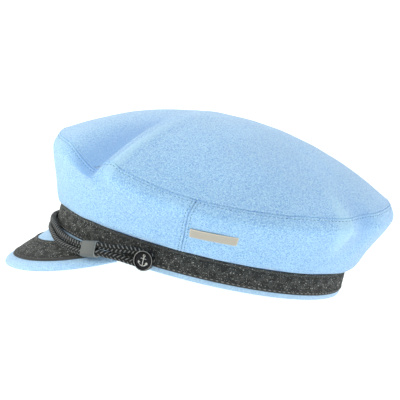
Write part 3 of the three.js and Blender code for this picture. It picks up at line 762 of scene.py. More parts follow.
@made_once
def gunmetal(sizes, metal):
    raised = metal.ramp(metal.stored("relief"), 0.2, 0.9)
    cloud = metal.noise(2.5 * MM, 3)
    # The raised anchor is brighter metal than the darker ground, and the rim's top carries a painted
    # highlight.
    shade = metal.mix(raised, rgba(sizes.button_colour, 0.35), rgba(sizes.button_crest_colour))
    scratch = metal.ramp(metal.noise(0.35 * MM, 3, 2), 0.6, 0.7)
    roughness = 0.16 + 0.1 * cloud + 0.12 * scratch
    return metal.surface(Base_Color=shade, Roughness=roughness, Metallic=0.95,
                         Normal=metal.bump(scratch, 0.02 * MM, 0.3))


@made_once
def brushed_nickel(sizes, metal):
    where = metal.node("ShaderNodeUVMap", {"uv_map": "lay"})
    stretched = metal.node("ShaderNodeMapping", {}, {"Vector": where, "Scale": (0.06, 1, 1)})
    strokes = metal.noise(0.22 * MM, 3, 0.2, stretched)
    cloud = metal.noise(8 * MM, 2)
    shade = metal.mix(strokes, rgba(sizes.plate_colour, 0.78), rgba(sizes.plate_warm_colour, 0.93))
    # Painted highlight along the plate's bevelled edges.
    shade = metal.mix(metal.stored("edge_highlight") * 0.7, shade, rgba(sizes.plate_warm_colour, 1.5))
    return metal.surface(Base_Color=shade, Roughness=0.38 + 0.12 * strokes + 0.05 * cloud, Metallic=0.55,
                         Normal=metal.bump(strokes, 0.02 * MM, 0.35))


@made_once
def pale_floor(sizes, floor):
    cloud = floor.noise(0.4, 3)
    shade = floor.mix(cloud, rgba(sizes.floor_colour, 0.99), rgba(sizes.floor_colour))
    return floor.surface(Base_Color=shade, Roughness=0.9, Specular_IOR_Level=0.1,
                         Emission_Color=rgba(sizes.bounce_colour), Emission_Strength=sizes.floor_glow)


# Felt pieces

AWAY_FROM_SEAM = 50 * MM
PANEL_LENGTH = 360 * MM  # about how long and high a side panel is, to space its mesh by
PANEL_HEIGHT = 64 * MM
PANEL_TUCK = 0.5 * MM
PANEL_TUCK_HEIGHT = 3 * MM
BAND_CORNER = 1.05 * MM
PEAK_NOSE = 2.2 * MM
PEAK_ROW_SPREAD = 0.85
# How far the head band's and peak's felt is painted paler all over: painted light.
BAND_PAINTED_LIGHT = 0.5
PEAK_PAINTED_LIGHT = 0.3


def top_travel(angle, distance):
    """Travel inwards over the crown's top by a distance from the edge seam."""
    step = 0.01
    length = np.linalg.norm(crown_point(angle, 1 + step) - crown_point(angle, 1 + 1e-6), axis=-1) / step
    return 1 + distance / length


def crown_skin(angle, travel, distance, sizes):
    point = crown_point(angle, travel)
    lift = seam_relief(distance, sizes) + soft_unevenness(point, sizes.felt_unevenness)
    return point + crown_normal(angle, travel) * lift[..., None]


def build_crown_top(sizes):
    angles = evenly(-180, 180, CROWN_COLUMNS)[:-1]
    distances = (SEAM_SLIT + SEAM_STEPS)[:, None]
    edge = top_travel(angles, distances)
    inward = edge[-1] + (CROWN_TIP - edge[-1]) * evenly(0, 1, CROWN_ROWS)[1:, None]
    travel = np.concatenate([edge, inward])
    apart = np.concatenate([np.broadcast_to(distances, edge.shape), np.full(inward.shape, AWAY_FROM_SEAM)])
    outer = crown_skin(angles, travel, apart, sizes)
    inner_angles = evenly(-180, 180, CROWN_INNER_COLUMNS)[:-1]
    shares = evenly(0, 1, CROWN_INNER_ROWS)[:, None]
    inner_travel = top_travel(inner_angles, SEAM_SLIT) + (CROWN_INNER_TIP - 1) * shares
    inner_travel = np.minimum(inner_travel, CROWN_INNER_TIP)
    inner = crown_point(inner_angles, inner_travel) - crown_normal(inner_angles, inner_travel) * CROWN_WALL
    points, faces = shell_mesh(outer, inner, closed=True, tip=True)
    depth_here = crease(angles, travel)
    values = {"crease": np.append(depth_here, np.zeros(len(points) - depth_here.size))}
    make_piece("felt_crown_top", points, faces, wool_felt(sizes), ["crown_top"], values=values)


def side_grid(start, end, columns, shares, depth, sizes):
    """Points of a side panel between two seams, on its skin or at a depth under it, and their creases."""
    shares = shares[:, None]
    near_seam = SEAM_STEPS / PANEL_LENGTH
    middle = evenly(near_seam[-1], 1 - near_seam[-1], columns)[1:-1]
    step = evenly(0, 1, columns) if depth else np.concatenate([near_seam, middle, 1 - near_seam[::-1]])
    first, last = start(shares), end(shares)
    angles = first + (last - first) * step
    point = crown_point(angles, shares)
    lift = -depth * np.ones(angles.shape)
    if not depth:
        run, climb = run_along(point, 1), run_along(point, 0)
        to_side_seam = np.minimum(run, run[:, -1:] - run)
        lift = seam_relief(to_side_seam, sizes) + seam_relief(climb[-1:] - climb, sizes)
        lift = lift + soft_unevenness(point, sizes.felt_unevenness)
        lift = lift - PANEL_TUCK * hill(climb / PANEL_TUCK_HEIGHT)
    return point + crown_normal(angles, shares) * lift[..., None], crease(angles, shares)


def build_side_panels(sizes):
    near_seam = 1 - (SEAM_SLIT + SEAM_STEPS) / PANEL_HEIGHT
    shares = np.sort(np.concatenate([near_seam, evenly(0, near_seam[-1], PANEL_ROWS)[:-1]]))
    inner_shares = evenly(0, shares[-1], PANEL_INNER_ROWS)
    turn = SEAM_SLIT / np.linalg.norm(crown_point(SIDE_SEAM_ANGLE + 1, 0) - crown_point(SIDE_SEAM_ANGLE, 0))
    ends = {
        "side_front": (lambda s: -(side_seam_angle(s) - turn), lambda s: side_seam_angle(s) - turn),
        "side_rear": (lambda s: side_seam_angle(s) + turn, lambda s: 360 - side_seam_angle(s) - turn),
    }
    for node, (start, end) in ends.items():
        outer, outer_crease = side_grid(start, end, PANEL_COLUMNS, shares, 0, sizes)
        inner, inner_crease = side_grid(start, end, PANEL_INNER_COLUMNS, inner_shares, CROWN_WALL, sizes)
        points, faces = shell_mesh(outer, inner)
        values = {"crease": np.append(outer_crease, inner_crease)}
        make_piece("felt_" + node, points, faces, wool_felt(sizes), [node], values=values)


def rounded_section(width, height, corner, steps=6):
    """A rounded rectangle round its own middle, anticlockwise from the lower right corner."""
    points = []
    for sign_x, sign_y, turn in ((1, -1, -90), (1, 1, 0), (-1, 1, 90), (-1, -1, 180)):
        middle = np.array([sign_x * (width / 2 - corner), sign_y * (height / 2 - corner)])
        angles = np.radians(turn + evenly(0, 90, steps))
        points.append(middle + corner * np.stack([np.cos(angles), np.sin(angles)], -1))
    return np.concatenate(points)


def spread_long_sides(section, step):
    """Adds points along a section's long straight stretches."""
    out = []
    for a, b in zip(section, np.roll(section, -1, 0)):
        count = max(int(np.linalg.norm(b - a) / step), 1)
        out.append(a + (b - a) * (np.arange(count) / count)[:, None])
    return np.concatenate(out)


def build_head_band(sizes):
    section = spread_long_sides(rounded_section(BAND_WALL, BAND_HEIGHT, BAND_CORNER), BAND_STEP)
    angles = evenly(-180, 180, BAND_COLUMNS)[:-1, None]
    loops = band_point(angles, BAND_WALL / 2 + section[:, 0], BAND_HEIGHT / 2 + section[:, 1])
    loops = loops + band_out(angles) * soft_unevenness(loops, 0.5 * sizes.felt_unevenness)[..., None]
    points, faces = tube_mesh(loops, True)
    # Painted light: the band's felt is painted paler all over.
    values = {"painted_light": np.full(len(points), BAND_PAINTED_LIGHT)}
    make_piece("felt_head_band", points, faces, wool_felt(sizes), ["head_band"], values=values)


def build_peak(sizes):
    share = evenly(-PEAK_END, PEAK_END, PEAK_COLUMNS)[:, None]
    width = peak_width(share)
    nose = np.minimum(PEAK_NOSE, width / 2)
    top_along = evenly(0, 1, PEAK_ROWS) ** PEAK_ROW_SPREAD * (width - nose)
    pillow = sizes.peak_pillow * hill((top_along - (width - PEAK_BORDER / 2)) / (PEAK_BORDER / 2))
    turns = np.radians(evenly(0, 180, 12))[1:-1]
    nose_along = width - nose + nose * np.sin(turns)
    nose_depth = np.broadcast_to(PEAK_WALL / 2 * (1 - np.cos(turns)), nose_along.shape)
    under_along = top_along[:, ::-1]
    along = np.concatenate([top_along, nose_along, under_along], 1)
    depth = np.concatenate([-pillow, nose_depth, peak_wall(under_along)], 1)
    depth = depth * peak_wall(along) / PEAK_WALL
    points, faces = tube_mesh(peak_point(share, along, depth), False)
    # Painted light: the peak's felt is painted paler all over.
    values = {"painted_light": np.full(len(points), PEAK_PAINTED_LIGHT)}
    make_piece("felt_peak", points, faces, wool_felt(sizes), ["peak"], values=values)


# Braids

SELVEDGE = 1.9 * MM
SELVEDGE_FADE = 0.4 * MM
BRAID_ROUNDING = 0.25 * MM

# Leaves on one side of the stem. Columns: start as a share of the motif, slant in degrees, size.
LEAVES = [(0.08, 52, 1.0), (0.3, 40, 0.8), (0.2, 118, 0.6)]

# Shares of the braid's width, and the leaves' breadth as a share of their length.
STEM_SWING = 0.1
STEM_HALF = 0.05
LEAF_LENGTH = 0.42
LEAF_BREADTH = 0.27
PLAIN_EDGE = 0.13
CORD_EDGE_AT = 0.075
CORD_EDGE_HALF = 0.05


def leaf(along, across, length, width):
    share = np.clip(along / length, 0, 1)
    half = width * np.sin(np.pi * share ** 0.75) + 1e-9
    body = np.sqrt(np.maximum(1 - (across / half) ** 2, 0)) * ((along > 0) & (along < length))
    vein = 0.5 * np.exp(-((across / (0.16 * width)) ** 2))
    return body * (1 - vein)


def leaf_pattern(along, across, width, motif):
    """The braid's raised pattern, 0 to 1: a waving stem with leaves, between two corded edges."""
    stem_at = STEM_SWING * width * np.sin(2 * np.pi * along / motif)
    height = np.maximum(0, 1 - ((across - stem_at) / (STEM_HALF * width)) ** 2) * 0.8
    for half, side in ((0, 1), (0.5, -1)):
        for start, slant, size in LEAVES:
            lean = math.radians(slant)
            run = ((along / motif - start - half + 0.5) % 1 - 0.5) * motif
            rise = side * across
            length = LEAF_LENGTH * width * size
            p = run * math.cos(lean) + rise * math.sin(lean)
            q = -run * math.sin(lean) + rise * math.cos(lean)
            height = np.maximum(height, leaf(p, q, length, LEAF_BREADTH * length))
    edge = width / 2 - np.abs(across)
    cord_edge = np.maximum(0, 1 - ((edge - CORD_EDGE_AT * width) / (CORD_EDGE_HALF * width)) ** 2)
    knots = 0.65 + 0.35 * np.cos(2 * np.pi * along / (motif / 10))
    return np.maximum(height * (edge > PLAIN_EDGE * width), cord_edge * knots)


def braid_face(pattern, share, sizes):
    """How far under its highest place the braid's face lies. Share runs -1 to 1 across the braid."""
    return sizes.braid_relief * (pattern - 1) - BRAID_ROUNDING * np.abs(share) ** 24


def braid_values(pattern, edge, back):
    """The face's raised pattern and plain selvedges, and neither on the back."""
    selvedge = np.broadcast_to(np.clip((SELVEDGE - edge) / SELVEDGE_FADE, 0, 1), pattern.shape)
    return {
        "relief": np.concatenate([(pattern * (1 - selvedge)).ravel(), np.zeros(back)]),
        "selvedge": np.concatenate([selvedge.ravel(), np.zeros(back)]),
    }


def build_band_braid(sizes):
    height = BAND_HEIGHT - BAND_HEM
    angles = evenly(-180, 180, BRAID_COLUMNS)
    run = run_along(band_point(angles, BRAID_FACE, 0.0))
    total, run, angles = run[-1], run[:-1], angles[:-1]
    motif = total / round(total / sizes.braid_motif)
    levels = evenly(-0.5, 0.5, BRAID_ROWS)[:, None]
    pattern = leaf_pattern(run, levels * height, height, motif)
    out = BRAID_FACE + braid_face(pattern, 2 * levels, sizes)
    outer = band_point(angles, out, BAND_HEM + (levels + 0.5) * height)
    inner_angles = evenly(-180, 180, BRAID_BACK_COLUMNS)[:-1]
    inner_z = np.broadcast_to([[BAND_HEM], [BAND_HEIGHT]], (2, len(inner_angles)))
    inner = band_point(inner_angles, BAND_FACE + GAP, inner_z)
    points, faces = shell_mesh(outer, inner, closed=True)
    uv = np.stack(np.broadcast_arrays(run, levels * height), -1).reshape(-1, 2)
    inner_run = np.interp(inner_angles, angles, run)
    inner_uv = np.stack(np.broadcast_arrays(inner_run, inner_z - BAND_HEM - height / 2), -1).reshape(-1, 2)
    values = braid_values(pattern, (levels + 0.5) * height, inner_z.size)
    make_piece("woven_band_braid", points, faces, black_braid(sizes), ["band_braid"],
               np.concatenate([uv, inner_uv]), total, values)


def build_peak_braid(sizes):
    end = math.sqrt(1 - ((PEAK_BORDER + BRAID_WALL) / PEAK_REACH) ** (1 / PEAK_FULLNESS))
    share = evenly(-end, end, PEAK_BRAID_COLUMNS)
    outer_along, inner_along = peak_braid_edges(share)
    outer_along = np.maximum(outer_along, inner_along + BRAID_WALL)
    run = run_along(peak_point(share, outer_along, 0))
    run = run - run[-1] / 2
    level = evenly(0, 1, PEAK_BRAID_ROWS)[:, None]
    from_edge = (outer_along - inner_along) * level
    across = from_edge - PEAK_BRAID_WIDTH / 2
    pattern = leaf_pattern(run, across, PEAK_BRAID_WIDTH, sizes.braid_motif * 1.2)
    lift = GAP + BRAID_WALL + braid_face(pattern, 2 * level - 1, sizes)
    outer = peak_point(share, outer_along - from_edge, -lift)
    coarse = slice(None, None, PEAK_BRAID_BACK_STEP)
    edges = np.stack([outer_along[coarse], inner_along[coarse]])
    inner = peak_point(np.broadcast_to(share[coarse], edges.shape), edges, -GAP)
    points, faces = shell_mesh(outer, inner)
    uv = np.stack(np.broadcast_arrays(run, across), -1).reshape(-1, 2)
    inner_uv = np.stack([np.tile(run[coarse], 2), np.repeat([0, PEAK_BRAID_WIDTH], edges.shape[1])], -1)
    values = braid_values(pattern, from_edge, edges.size)
    make_piece("woven_peak_braid", points, faces, black_braid(sizes), ["peak_braid"],
               np.concatenate([uv, inner_uv]), 0, values)


# Cord and slides

CORD_RADIUS = CORD_DIAMETER / 2
STRAND_SPREAD = CORD_DIAMETER + STRAND_GAP
SLOT_HEIGHT = STRAND_SPREAD + CORD_DIAMETER + 2 * SLIDE_PLAY
SLOT_DEPTH = CORD_DIAMETER + 2 * SLIDE_PLAY
SLIDE_HEIGHT = SLOT_HEIGHT + 2 * SLIDE_WALL
SLIDE_DEPTH = SLOT_DEPTH + 2 * SLIDE_WALL
SLIDE_FROM_FELT = BRAID_FACE - BAND_FACE + SLIDE_OUT
BUTTON_SPREAD = 2 * (SHANK_RADIUS + GAP + CORD_RADIUS)
SLIDE_BEVEL = 0.35 * MM
SLIDE_CORNER_STEPS = 8
FRONT_ANGLES = evenly(0, SLIDE_ANGLE - SLIDE_APPROACH, 7)
REAR_ANGLES = [63, 67, 71, 74]
SLIDE_RUN = [-0.6, -0.3, 0, 0.3, 0.6]
SHANK_TURNS = [60, 30, 0, -30, -60]


def peak_face(angle, out):
    """Height of the peak's face, or of the braid on it, at a distance out from the band's face."""
    share = min(abs(angle) / PEAK_SPAN, 1)
    inner = peak_braid_edges(share)[1]
    on_braid = out / math.cos(PEAK_SLOPE) > inner - CORD_DIAMETER
    cover = (GAP + BRAID_WALL) / math.cos(PEAK_SLOPE) if on_braid else 0
    return PEAK_ROOT_HEIGHT - (out - GAP) * math.tan(PEAK_SLOPE) + cover


def slide_middle_height():
    half_height, half_depth = SLIDE_HEIGHT / 2, SLIDE_DEPTH / 2
    corner_out = SLIDE_FROM_FELT + half_height * math.sin(SLIDE_LEAN) - half_depth * math.cos(SLIDE_LEAN)
    corner_down = half_height * math.cos(SLIDE_LEAN) + half_depth * math.sin(SLIDE_LEAN)
    end_down = SLIDE_LENGTH / 2 * math.sin(SLIDE_TURN)
    return peak_face(SLIDE_ANGLE, corner_out) + GAP / math.cos(PEAK_SLOPE) + corner_down + end_down


def cord_rows():
    """Rows of angle, out, half spread, lean and height of the doubled cord's middle line."""
    rows = []
    braid_out = BRAID_FACE - BAND_FACE
    for angle, out_share, height_share, part, lean_deg in CORD_ROUTE:
        out = braid_out + out_share * CORD_DIAMETER
        half = (STRAND_SPREAD + part * CORD_DIAMETER) / 2
        lean = math.radians(lean_deg)
        rest = peak_face(angle, out + half * math.sin(lean))
        lowest = rest + (CORD_RADIUS + GAP) / math.cos(PEAK_SLOPE) + half * math.cos(lean)
        rows.append((angle, out, half, lean, max(height_share * CORD_DIAMETER, lowest)))
    rows.append((SLIDE_ANGLE, SLIDE_FROM_FELT, STRAND_SPREAD / 2, SLIDE_LEAN, slide_middle_height()))
    rows.append((BUTTON_ANGLE, braid_out + GAP + CORD_RADIUS, BUTTON_SPREAD / 2, 0, BUTTON_HEIGHT))
    rows.sort()
    mirrored = [(-row[0], *row[1:]) for row in rows[:0:-1]]
    return np.array(mirrored + rows)


CORD_ROWS = cord_rows()


def strand_point(angle, side):
    """A point of the upper strand, side 1, of the lower one, side -1, or of their middle line."""
    out, half, lean, height = (smooth_curve(CORD_ROWS[:, 0], CORD_ROWS[:, i], angle) for i in range(1, 5))
    out = BAND_FACE + out - side * half * np.sin(lean)
    return band_point(angle, out, height + side * half * np.cos(lean))


def towards_rear(handed, angle):
    """The level direction along the band, away from the front, on the left, 1, or the right, -1."""
    out = band_out(handed * angle)
    return np.array([-out[1], out[0], 0]) * handed


def slide_seat(handed):
    """A slide's middle, the way along the cord towards the button, and the way up to the upper strand."""
    level = towards_rear(handed, SLIDE_ANGLE)
    along = level * math.cos(SLIDE_TURN) + UP * math.sin(SLIDE_TURN)
    upright = -level * math.sin(SLIDE_TURN) + UP * math.cos(SLIDE_TURN)
    upward = upright * math.cos(SLIDE_LEAN) - band_out(handed * SLIDE_ANGLE) * math.sin(SLIDE_LEAN)
    middle = band_point(handed * SLIDE_ANGLE, BAND_FACE + SLIDE_FROM_FELT, slide_middle_height())
    return middle, along, upward


def strand_run(handed, side):
    middle, along, up = slide_seat(handed)
    strand = middle + up * (side * STRAND_SPREAD / 2)
    points = [strand_point(handed * angle, side) for angle in FRONT_ANGLES]
    points += [strand + along * (share * SLIDE_LENGTH) for share in SLIDE_RUN]
    return points + [strand_point(handed * angle, side) for angle in REAR_ANGLES]


def shank_turn(handed):
    seat = strand_point(handed * BUTTON_ANGLE, 0)
    along = towards_rear(handed, BUTTON_ANGLE)
    turns = np.radians(SHANK_TURNS)
    return [seat + (along * math.cos(turn) + UP * math.sin(turn)) * (BUTTON_SPREAD / 2) for turn in turns]


def cord_line():
    """The closed loop's middle line, as a fine smooth curve through the chosen points."""
    points = strand_run(-1, 1)[:0:-1] + strand_run(1, 1) + shank_turn(1)
    points = np.array(points + strand_run(1, -1)[::-1] + strand_run(-1, -1)[1:] + shank_turn(-1)[::-1])
    before, after, beyond = np.roll(points, 1, 0), np.roll(points, -1, 0), np.roll(points, -2, 0)
    lines = ((before, points), (points, after), (after, beyond))
    first, second, third = (np.sqrt(np.linalg.norm(b - a, axis=1))[:, None] for a, b in lines)
    leaving = (points - before) / first - (after - before) / (first + second) + (after - points) / second
    arriving = (after - points) / second - (beyond - points) / (second + third) + (beyond - after) / third
    t = np.linspace(0, 1, CORD_CURVE_STEPS, endpoint=False)[None, :, None]
    ends = (a[:, None] for a in (points, after, leaving * second, arriving * second))
    return hermite(t, *ends).reshape(-1, 3)


def carried_frames(path):
    """Directions square to a closed path that turn with it as little as they can."""
    ahead = unit(np.roll(path, -1, 0) - np.roll(path, 1, 0))
    normals = [unit(np.cross(ahead[0], UP))]
    for way in np.concatenate([ahead[1:], ahead[:1]]):
        last = normals[-1]
        normals.append(unit(last - way * (last @ way)))
    across = np.cross(ahead[0], normals[0])
    twist = math.atan2(normals[-1] @ across, normals[-1] @ normals[0])
    first = np.array(normals[:-1])
    second = np.cross(ahead, first)
    spin = -twist * np.arange(len(path))[:, None] / len(path)
    return first * np.cos(spin) + second * np.sin(spin), -first * np.sin(spin) + second * np.cos(spin)


CORD_SWELL = 0.15 * MM  # how far the yarns' crests stand outside the plain cord
CORD_COLUMNS = 4
CREST_HALF = 0.36


def build_cord(sizes):
    """A plait of four columns round the cord, each of yarns that lean the other way than its neighbours'."""
    rough = cord_line()
    total = resample(rough, len(rough), True)[1]
    count = int(total / CORD_STEP)
    path, total = resample(rough, count, True)
    first, second = carried_frames(path)
    turns = np.linspace(0, 2 * np.pi, CORD_AROUND, endpoint=False)
    run = (np.arange(count) * total / count)[:, None]
    plait = total / round(total / sizes.cord_plait)
    column = CORD_COLUMNS * turns / (2 * np.pi)
    leaning = np.where(np.floor(column) % 2 < 1, 1, -1)
    share = column % 1
    phase = run / plait + 0.25 * leaning + leaning * (share - 0.5) * sizes.cord_slant
    from_crest = 2 * (phase % 1) - 1
    from_middle = np.abs(2 * share - 1)
    height = np.sqrt(np.maximum(1 - from_crest ** 2, 0)) * (0.4 + 0.6 * np.sqrt(1 - from_middle ** 3))
    # Where each yarn's crest gets its painted highlight.
    crest_highlight = np.maximum(1 - (from_crest / CREST_HALF) ** 2, 0) * (1 - from_middle ** 4)
    radius = CORD_RADIUS + CORD_SWELL - sizes.cord_relief * (1 - height)
    ring = first[:, None] * np.cos(turns)[:, None] + second[:, None] * np.sin(turns)[:, None]
    points, faces = tube_mesh(path[:, None] + ring * radius[..., None], True)
    uv = np.stack(np.broadcast_arrays(run, turns * CORD_RADIUS), -1).reshape(-1, 2)
    lay_side = np.broadcast_to((leaning + 1) / 2, height.shape)
    values = {"relief": height, "crest_highlight": crest_highlight, "lay_side": lay_side}
    make_piece("braided_cord", points, faces, black_cord(sizes), ["cord_loop"], uv, total,
               values)


def build_slides(sizes):
    """Flat sleeves round both strands, drawn as rings from inside the slot, over the ends, and back."""
    bevel = SLIDE_BEVEL
    outer = rounded_section(SLIDE_DEPTH, SLIDE_HEIGHT, SLIDE_CORNER, SLIDE_CORNER_STEPS)
    shrunk = rounded_section(SLIDE_DEPTH - 2 * bevel, SLIDE_HEIGHT - 2 * bevel, SLIDE_CORNER - bevel / 2,
                             SLIDE_CORNER_STEPS)
    slot = rounded_section(SLOT_DEPTH, SLOT_HEIGHT, SLOT_DEPTH * SLOT_ROUNDNESS, SLIDE_CORNER_STEPS)
    half = SLIDE_LENGTH / 2
    mid = (outer + shrunk) / 2 + (outer - shrunk) * 0.2
    ends = [(slot, 0), (slot + (shrunk - slot) * 0.3, 1), (shrunk, 1), (mid, 0.7), (outer, 0)]
    rings = [(section, -half + bevel * (1 - share)) for section, share in ends]
    rings += [(section, half - bevel * (1 - share)) for section, share in ends[::-1]]
    # Painted highlight on the bevels at the ends, and painted shade in the slot.
    edge_highlight = np.array([0, 1, 1, 0.5, 0, 0, 0.5, 1, 1, 0])
    inside = np.array([1, 0, 0, 0, 0, 0, 0, 0, 0, 1])
    for side, handed in (("left", 1), ("right", -1)):
        middle, along, upward = slide_seat(handed)
        across = unit(np.cross(upward, along))
        third = np.cross(along, across)
        sections = [middle + across * s[:, :1] + third * s[:, 1:] + along * z for s, z in rings]
        points, faces = tube_mesh(np.array(sections).transpose(1, 0, 2), True)
        values = {"edge_highlight": np.tile(edge_highlight, len(outer)), "inside": np.tile(inside, len(outer))}
        make_piece("slide_" + side, points, faces, grey_slide(sizes), ["keeper_" + side],
                   values=values, sharp=50)


# Buttons and plate

ANCHOR_SIZE = 1.18
BUTTON_DOME = 0.25 * MM
SHANK_FLARE = 0.4 * MM
RIM_BRIGHTNESS = 0.55

# The anchor's bars and the barbs at its arms' ends, in shares of the button's face.
# Columns: start x, start y, end x, end y, half width.
ANCHOR_BARS = [(0, 0.36, 0, -0.5, 0.04), (-0.27, 0.2, 0.27, 0.2, 0.035)]
ANCHOR_BARBS = [(0.44, -0.12, 0.3, -0.2, 0.045), (0.44, -0.12, 0.47, -0.28, 0.04)]


def anchor(x, y):
    """A plain anchor's raised shape: 1 on it, 0 off it."""
    def near(distance, half):
        return np.clip((half - distance) / 0.035 + 0.5, 0, 1)

    def bar(ax, ay, bx, by, half):
        t = np.clip(((x - ax) * (bx - ax) + (y - ay) * (by - ay)) / ((bx - ax) ** 2 + (by - ay) ** 2), 0, 1)
        return near(np.hypot(x - ax - t * (bx - ax), y - ay - t * (by - ay)), half)

    ring = near(np.abs(np.hypot(x, y - 0.48) - 0.1), 0.03)
    arms = near(np.abs(np.hypot(x, y + 0.06) - 0.45), 0.04) * (y < -0.14)
    shapes = [ring, arms] + [bar(*line) for line in ANCHOR_BARS]
    for side in (-1, 1):
        shapes += [bar(side * ax, ay, side * bx, by, half) for ax, ay, bx, by, half in ANCHOR_BARBS]
    return np.maximum.reduce(shapes)


def build_buttons(sizes):
    """Each button is a profile turned round its shank, from the face's middle to the shank's foot."""
    under = CORD_DIAMETER + 2 * GAP
    face = under + BUTTON_DISC
    rim_top = face + BUTTON_RIM_RISE
    flat_radius = BUTTON_RADIUS - BUTTON_RIM
    bead = BUTTON_RIM / 2
    bead_at = BUTTON_RADIUS - bead
    profile = [(share * flat_radius, face) for share in evenly(0.02, 1, BUTTON_ROWS)]
    bend = np.radians(evenly(180, 0, 10))
    profile += [(bead_at + bead * math.cos(t), rim_top - bead + bead * math.sin(t)) for t in bend]
    profile += [
        (BUTTON_RADIUS, under + BUTTON_RIM),
        (BUTTON_RADIUS - 0.3 * BUTTON_RIM, under + 0.3 * BUTTON_RIM),
        (flat_radius, under),
        (SHANK_RADIUS * 1.3, under),
        (SHANK_RADIUS, under - SHANK_FLARE),
        (SHANK_RADIUS, 0),
    ]
    radius, height = np.array(profile).T
    on_face = (np.arange(len(profile)) <= BUTTON_ROWS)[:, None]
    turns = np.linspace(0, 2 * np.pi, BUTTON_COLUMNS, endpoint=False)
    x, y = radius[:, None] * np.cos(turns), radius[:, None] * np.sin(turns)
    figure = anchor(x / flat_radius / ANCHOR_SIZE, y / flat_radius / ANCHOR_SIZE) * on_face
    dome = BUTTON_DOME * (1 - (radius / flat_radius) ** 2)[:, None] * on_face
    z = height[:, None] + dome + figure * sizes.button_relief
    # A painted highlight round the rim's top, and the raised anchor made brighter metal.
    rim = hill((height - rim_top) / (0.16 * BUTTON_RIM))[:, None] * ~on_face
    bright = np.maximum(figure, RIM_BRIGHTNESS * rim)
    for side, handed in (("left", 1), ("right", -1)):
        out = band_out(handed * BUTTON_ANGLE)
        along = np.cross(UP, out)
        seat = band_point(handed * BUTTON_ANGLE, BRAID_FACE + GAP, BUTTON_HEIGHT)
        grid = seat + along * x[..., None] + UP * y[..., None] + out * z[..., None]
        points = np.concatenate([grid.reshape(-1, 3), [seat + out * z[0].mean(), seat]])
        index = grid_index(*z.shape, 0, True)
        faces = grid_quads(index)
        faces += [(int(b), int(a), z.size) for a, b in zip(index[0][:-1], index[0][1:])]
        faces += [(int(a), int(b), z.size + 1) for a, b in zip(index[-1][:-1], index[-1][1:])]
        values = {"relief": np.append(bright, [0, 0])}
        make_piece("anchor_button_" + side, points, faces, gunmetal(sizes), ["button_" + side],
                   values=values, sharp=60)


PLATE_CORNER = 0.7 * MM
PLATE_BEVEL = 0.25 * MM
# Width of the painted highlight along the plate's edges.
PLATE_HIGHLIGHT_WIDTH = 0.6 * MM


def build_plate(sizes):
    """A thin plate that follows the crown's side, drawn as sections one after another along its length."""
    middle = crown_point(PLATE_ANGLE, PLATE_SIDE)
    step = 0.02
    per_degree = np.linalg.norm(middle - crown_point(PLATE_ANGLE + 1, PLATE_SIDE))
    per_share = np.linalg.norm(middle - crown_point(PLATE_ANGLE, PLATE_SIDE + step)) / step
    tilt = math.tan(PLATE_TILT) * per_degree / per_share
    corner, half = PLATE_CORNER, PLATE_LENGTH / 2
    end = corner * (1 - np.cos(np.radians(evenly(0, 90, 6)))) - half
    along = np.concatenate([end, evenly(corner - half, half - corner, PLATE_COLUMNS)[1:-1], -end[::-1]])
    from_end = np.minimum(half - np.abs(along), corner)
    narrowing = corner - np.sqrt(np.maximum(corner ** 2 - (corner - from_end) ** 2, 0))
    section = spread_long_sides(rounded_section(PLATE_HEIGHT, PLATE_WALL, PLATE_BEVEL), PLATE_STEP)
    across = section[:, 0] * (1 - 2 * narrowing / PLATE_HEIGHT)[:, None]
    along = np.broadcast_to(along[:, None], across.shape)
    angle = PLATE_ANGLE + along / per_degree
    share = PLATE_SIDE + tilt * (angle - PLATE_ANGLE) + across / per_share
    lift = GAP + PLATE_WALL / 2 + section[:, 1]
    loops = crown_point(angle, share) + crown_normal(PLATE_ANGLE, PLATE_SIDE) * lift[:, None]
    points, faces = tube_mesh(loops, False)
    from_edge = np.minimum(half - np.abs(along), PLATE_HEIGHT / 2 - np.abs(across))
    # Painted highlight along the plate's bevelled edges.
    values = {"edge_highlight": 1 - np.clip(from_edge / PLATE_HIGHLIGHT_WIDTH, 0, 1)}
    uv = np.stack([along, across], -1).reshape(-1, 2)
    make_piece("bare_plate", points, faces, brushed_nickel(sizes), ["side_plate"], uv,
               values=values, sharp=40)


# Stitches

def topstitches(angles, travel, sizes, closed=False):
    path = crown_skin(angles, travel, np.full(travel.shape, sizes.seam_to_stitch), sizes)
    normals = crown_normal(angles, travel)
    return thread_marks(path, normals, sizes.stitch_pitch, sizes.stitch_length, STITCH_RADIUS, closed)


def build_crown_stitches(sizes):
    angles = evenly(-180, 180, STITCH_COLUMNS)[:-1]
    step = 0.02
    length = np.linalg.norm(crown_point(angles, 1) - crown_point(angles, 1 - step), axis=-1) / step
    points, faces = topstitches(angles, 1 - (SEAM_SLIT + sizes.seam_to_stitch) / length, sizes, True)
    make_piece("crown_edge_stitches", points, faces, shade_darkened_felt_thread(sizes))


def build_side_stitches(sizes):
    shares = evenly(*SIDE_STITCH_ENDS, 90)
    seam = side_seam_angle(shares)
    per_degree = np.linalg.norm(crown_point(seam + 1, shares) - crown_point(seam, shares), axis=-1)
    aside = (SEAM_SLIT + sizes.seam_to_stitch) / per_degree
    rows = [handed * (seam + side * aside) for handed in (1, -1) for side in (-1, 1)]
    points, faces = join_meshes([topstitches(angles, shares, sizes) for angles in rows])
    make_piece("side_seam_stitches", points, faces, shade_darkened_felt_thread(sizes))


def build_braid_stitches(sizes):
    angles = evenly(-180, 180, STITCH_COLUMNS)[:-1]
    height = BAND_HEM + sizes.braid_stitch_inset
    path = band_point(angles, BRAID_FACE - 0.25 * sizes.braid_relief, height)
    points, faces = thread_marks(path, band_out(angles), sizes.braid_stitch_pitch, BRAID_STITCH_LENGTH,
                                 BRAID_STITCH_RADIUS, True)
    make_piece("braid_edge_stitches", points, faces, braid_thread(sizes))


# Stage

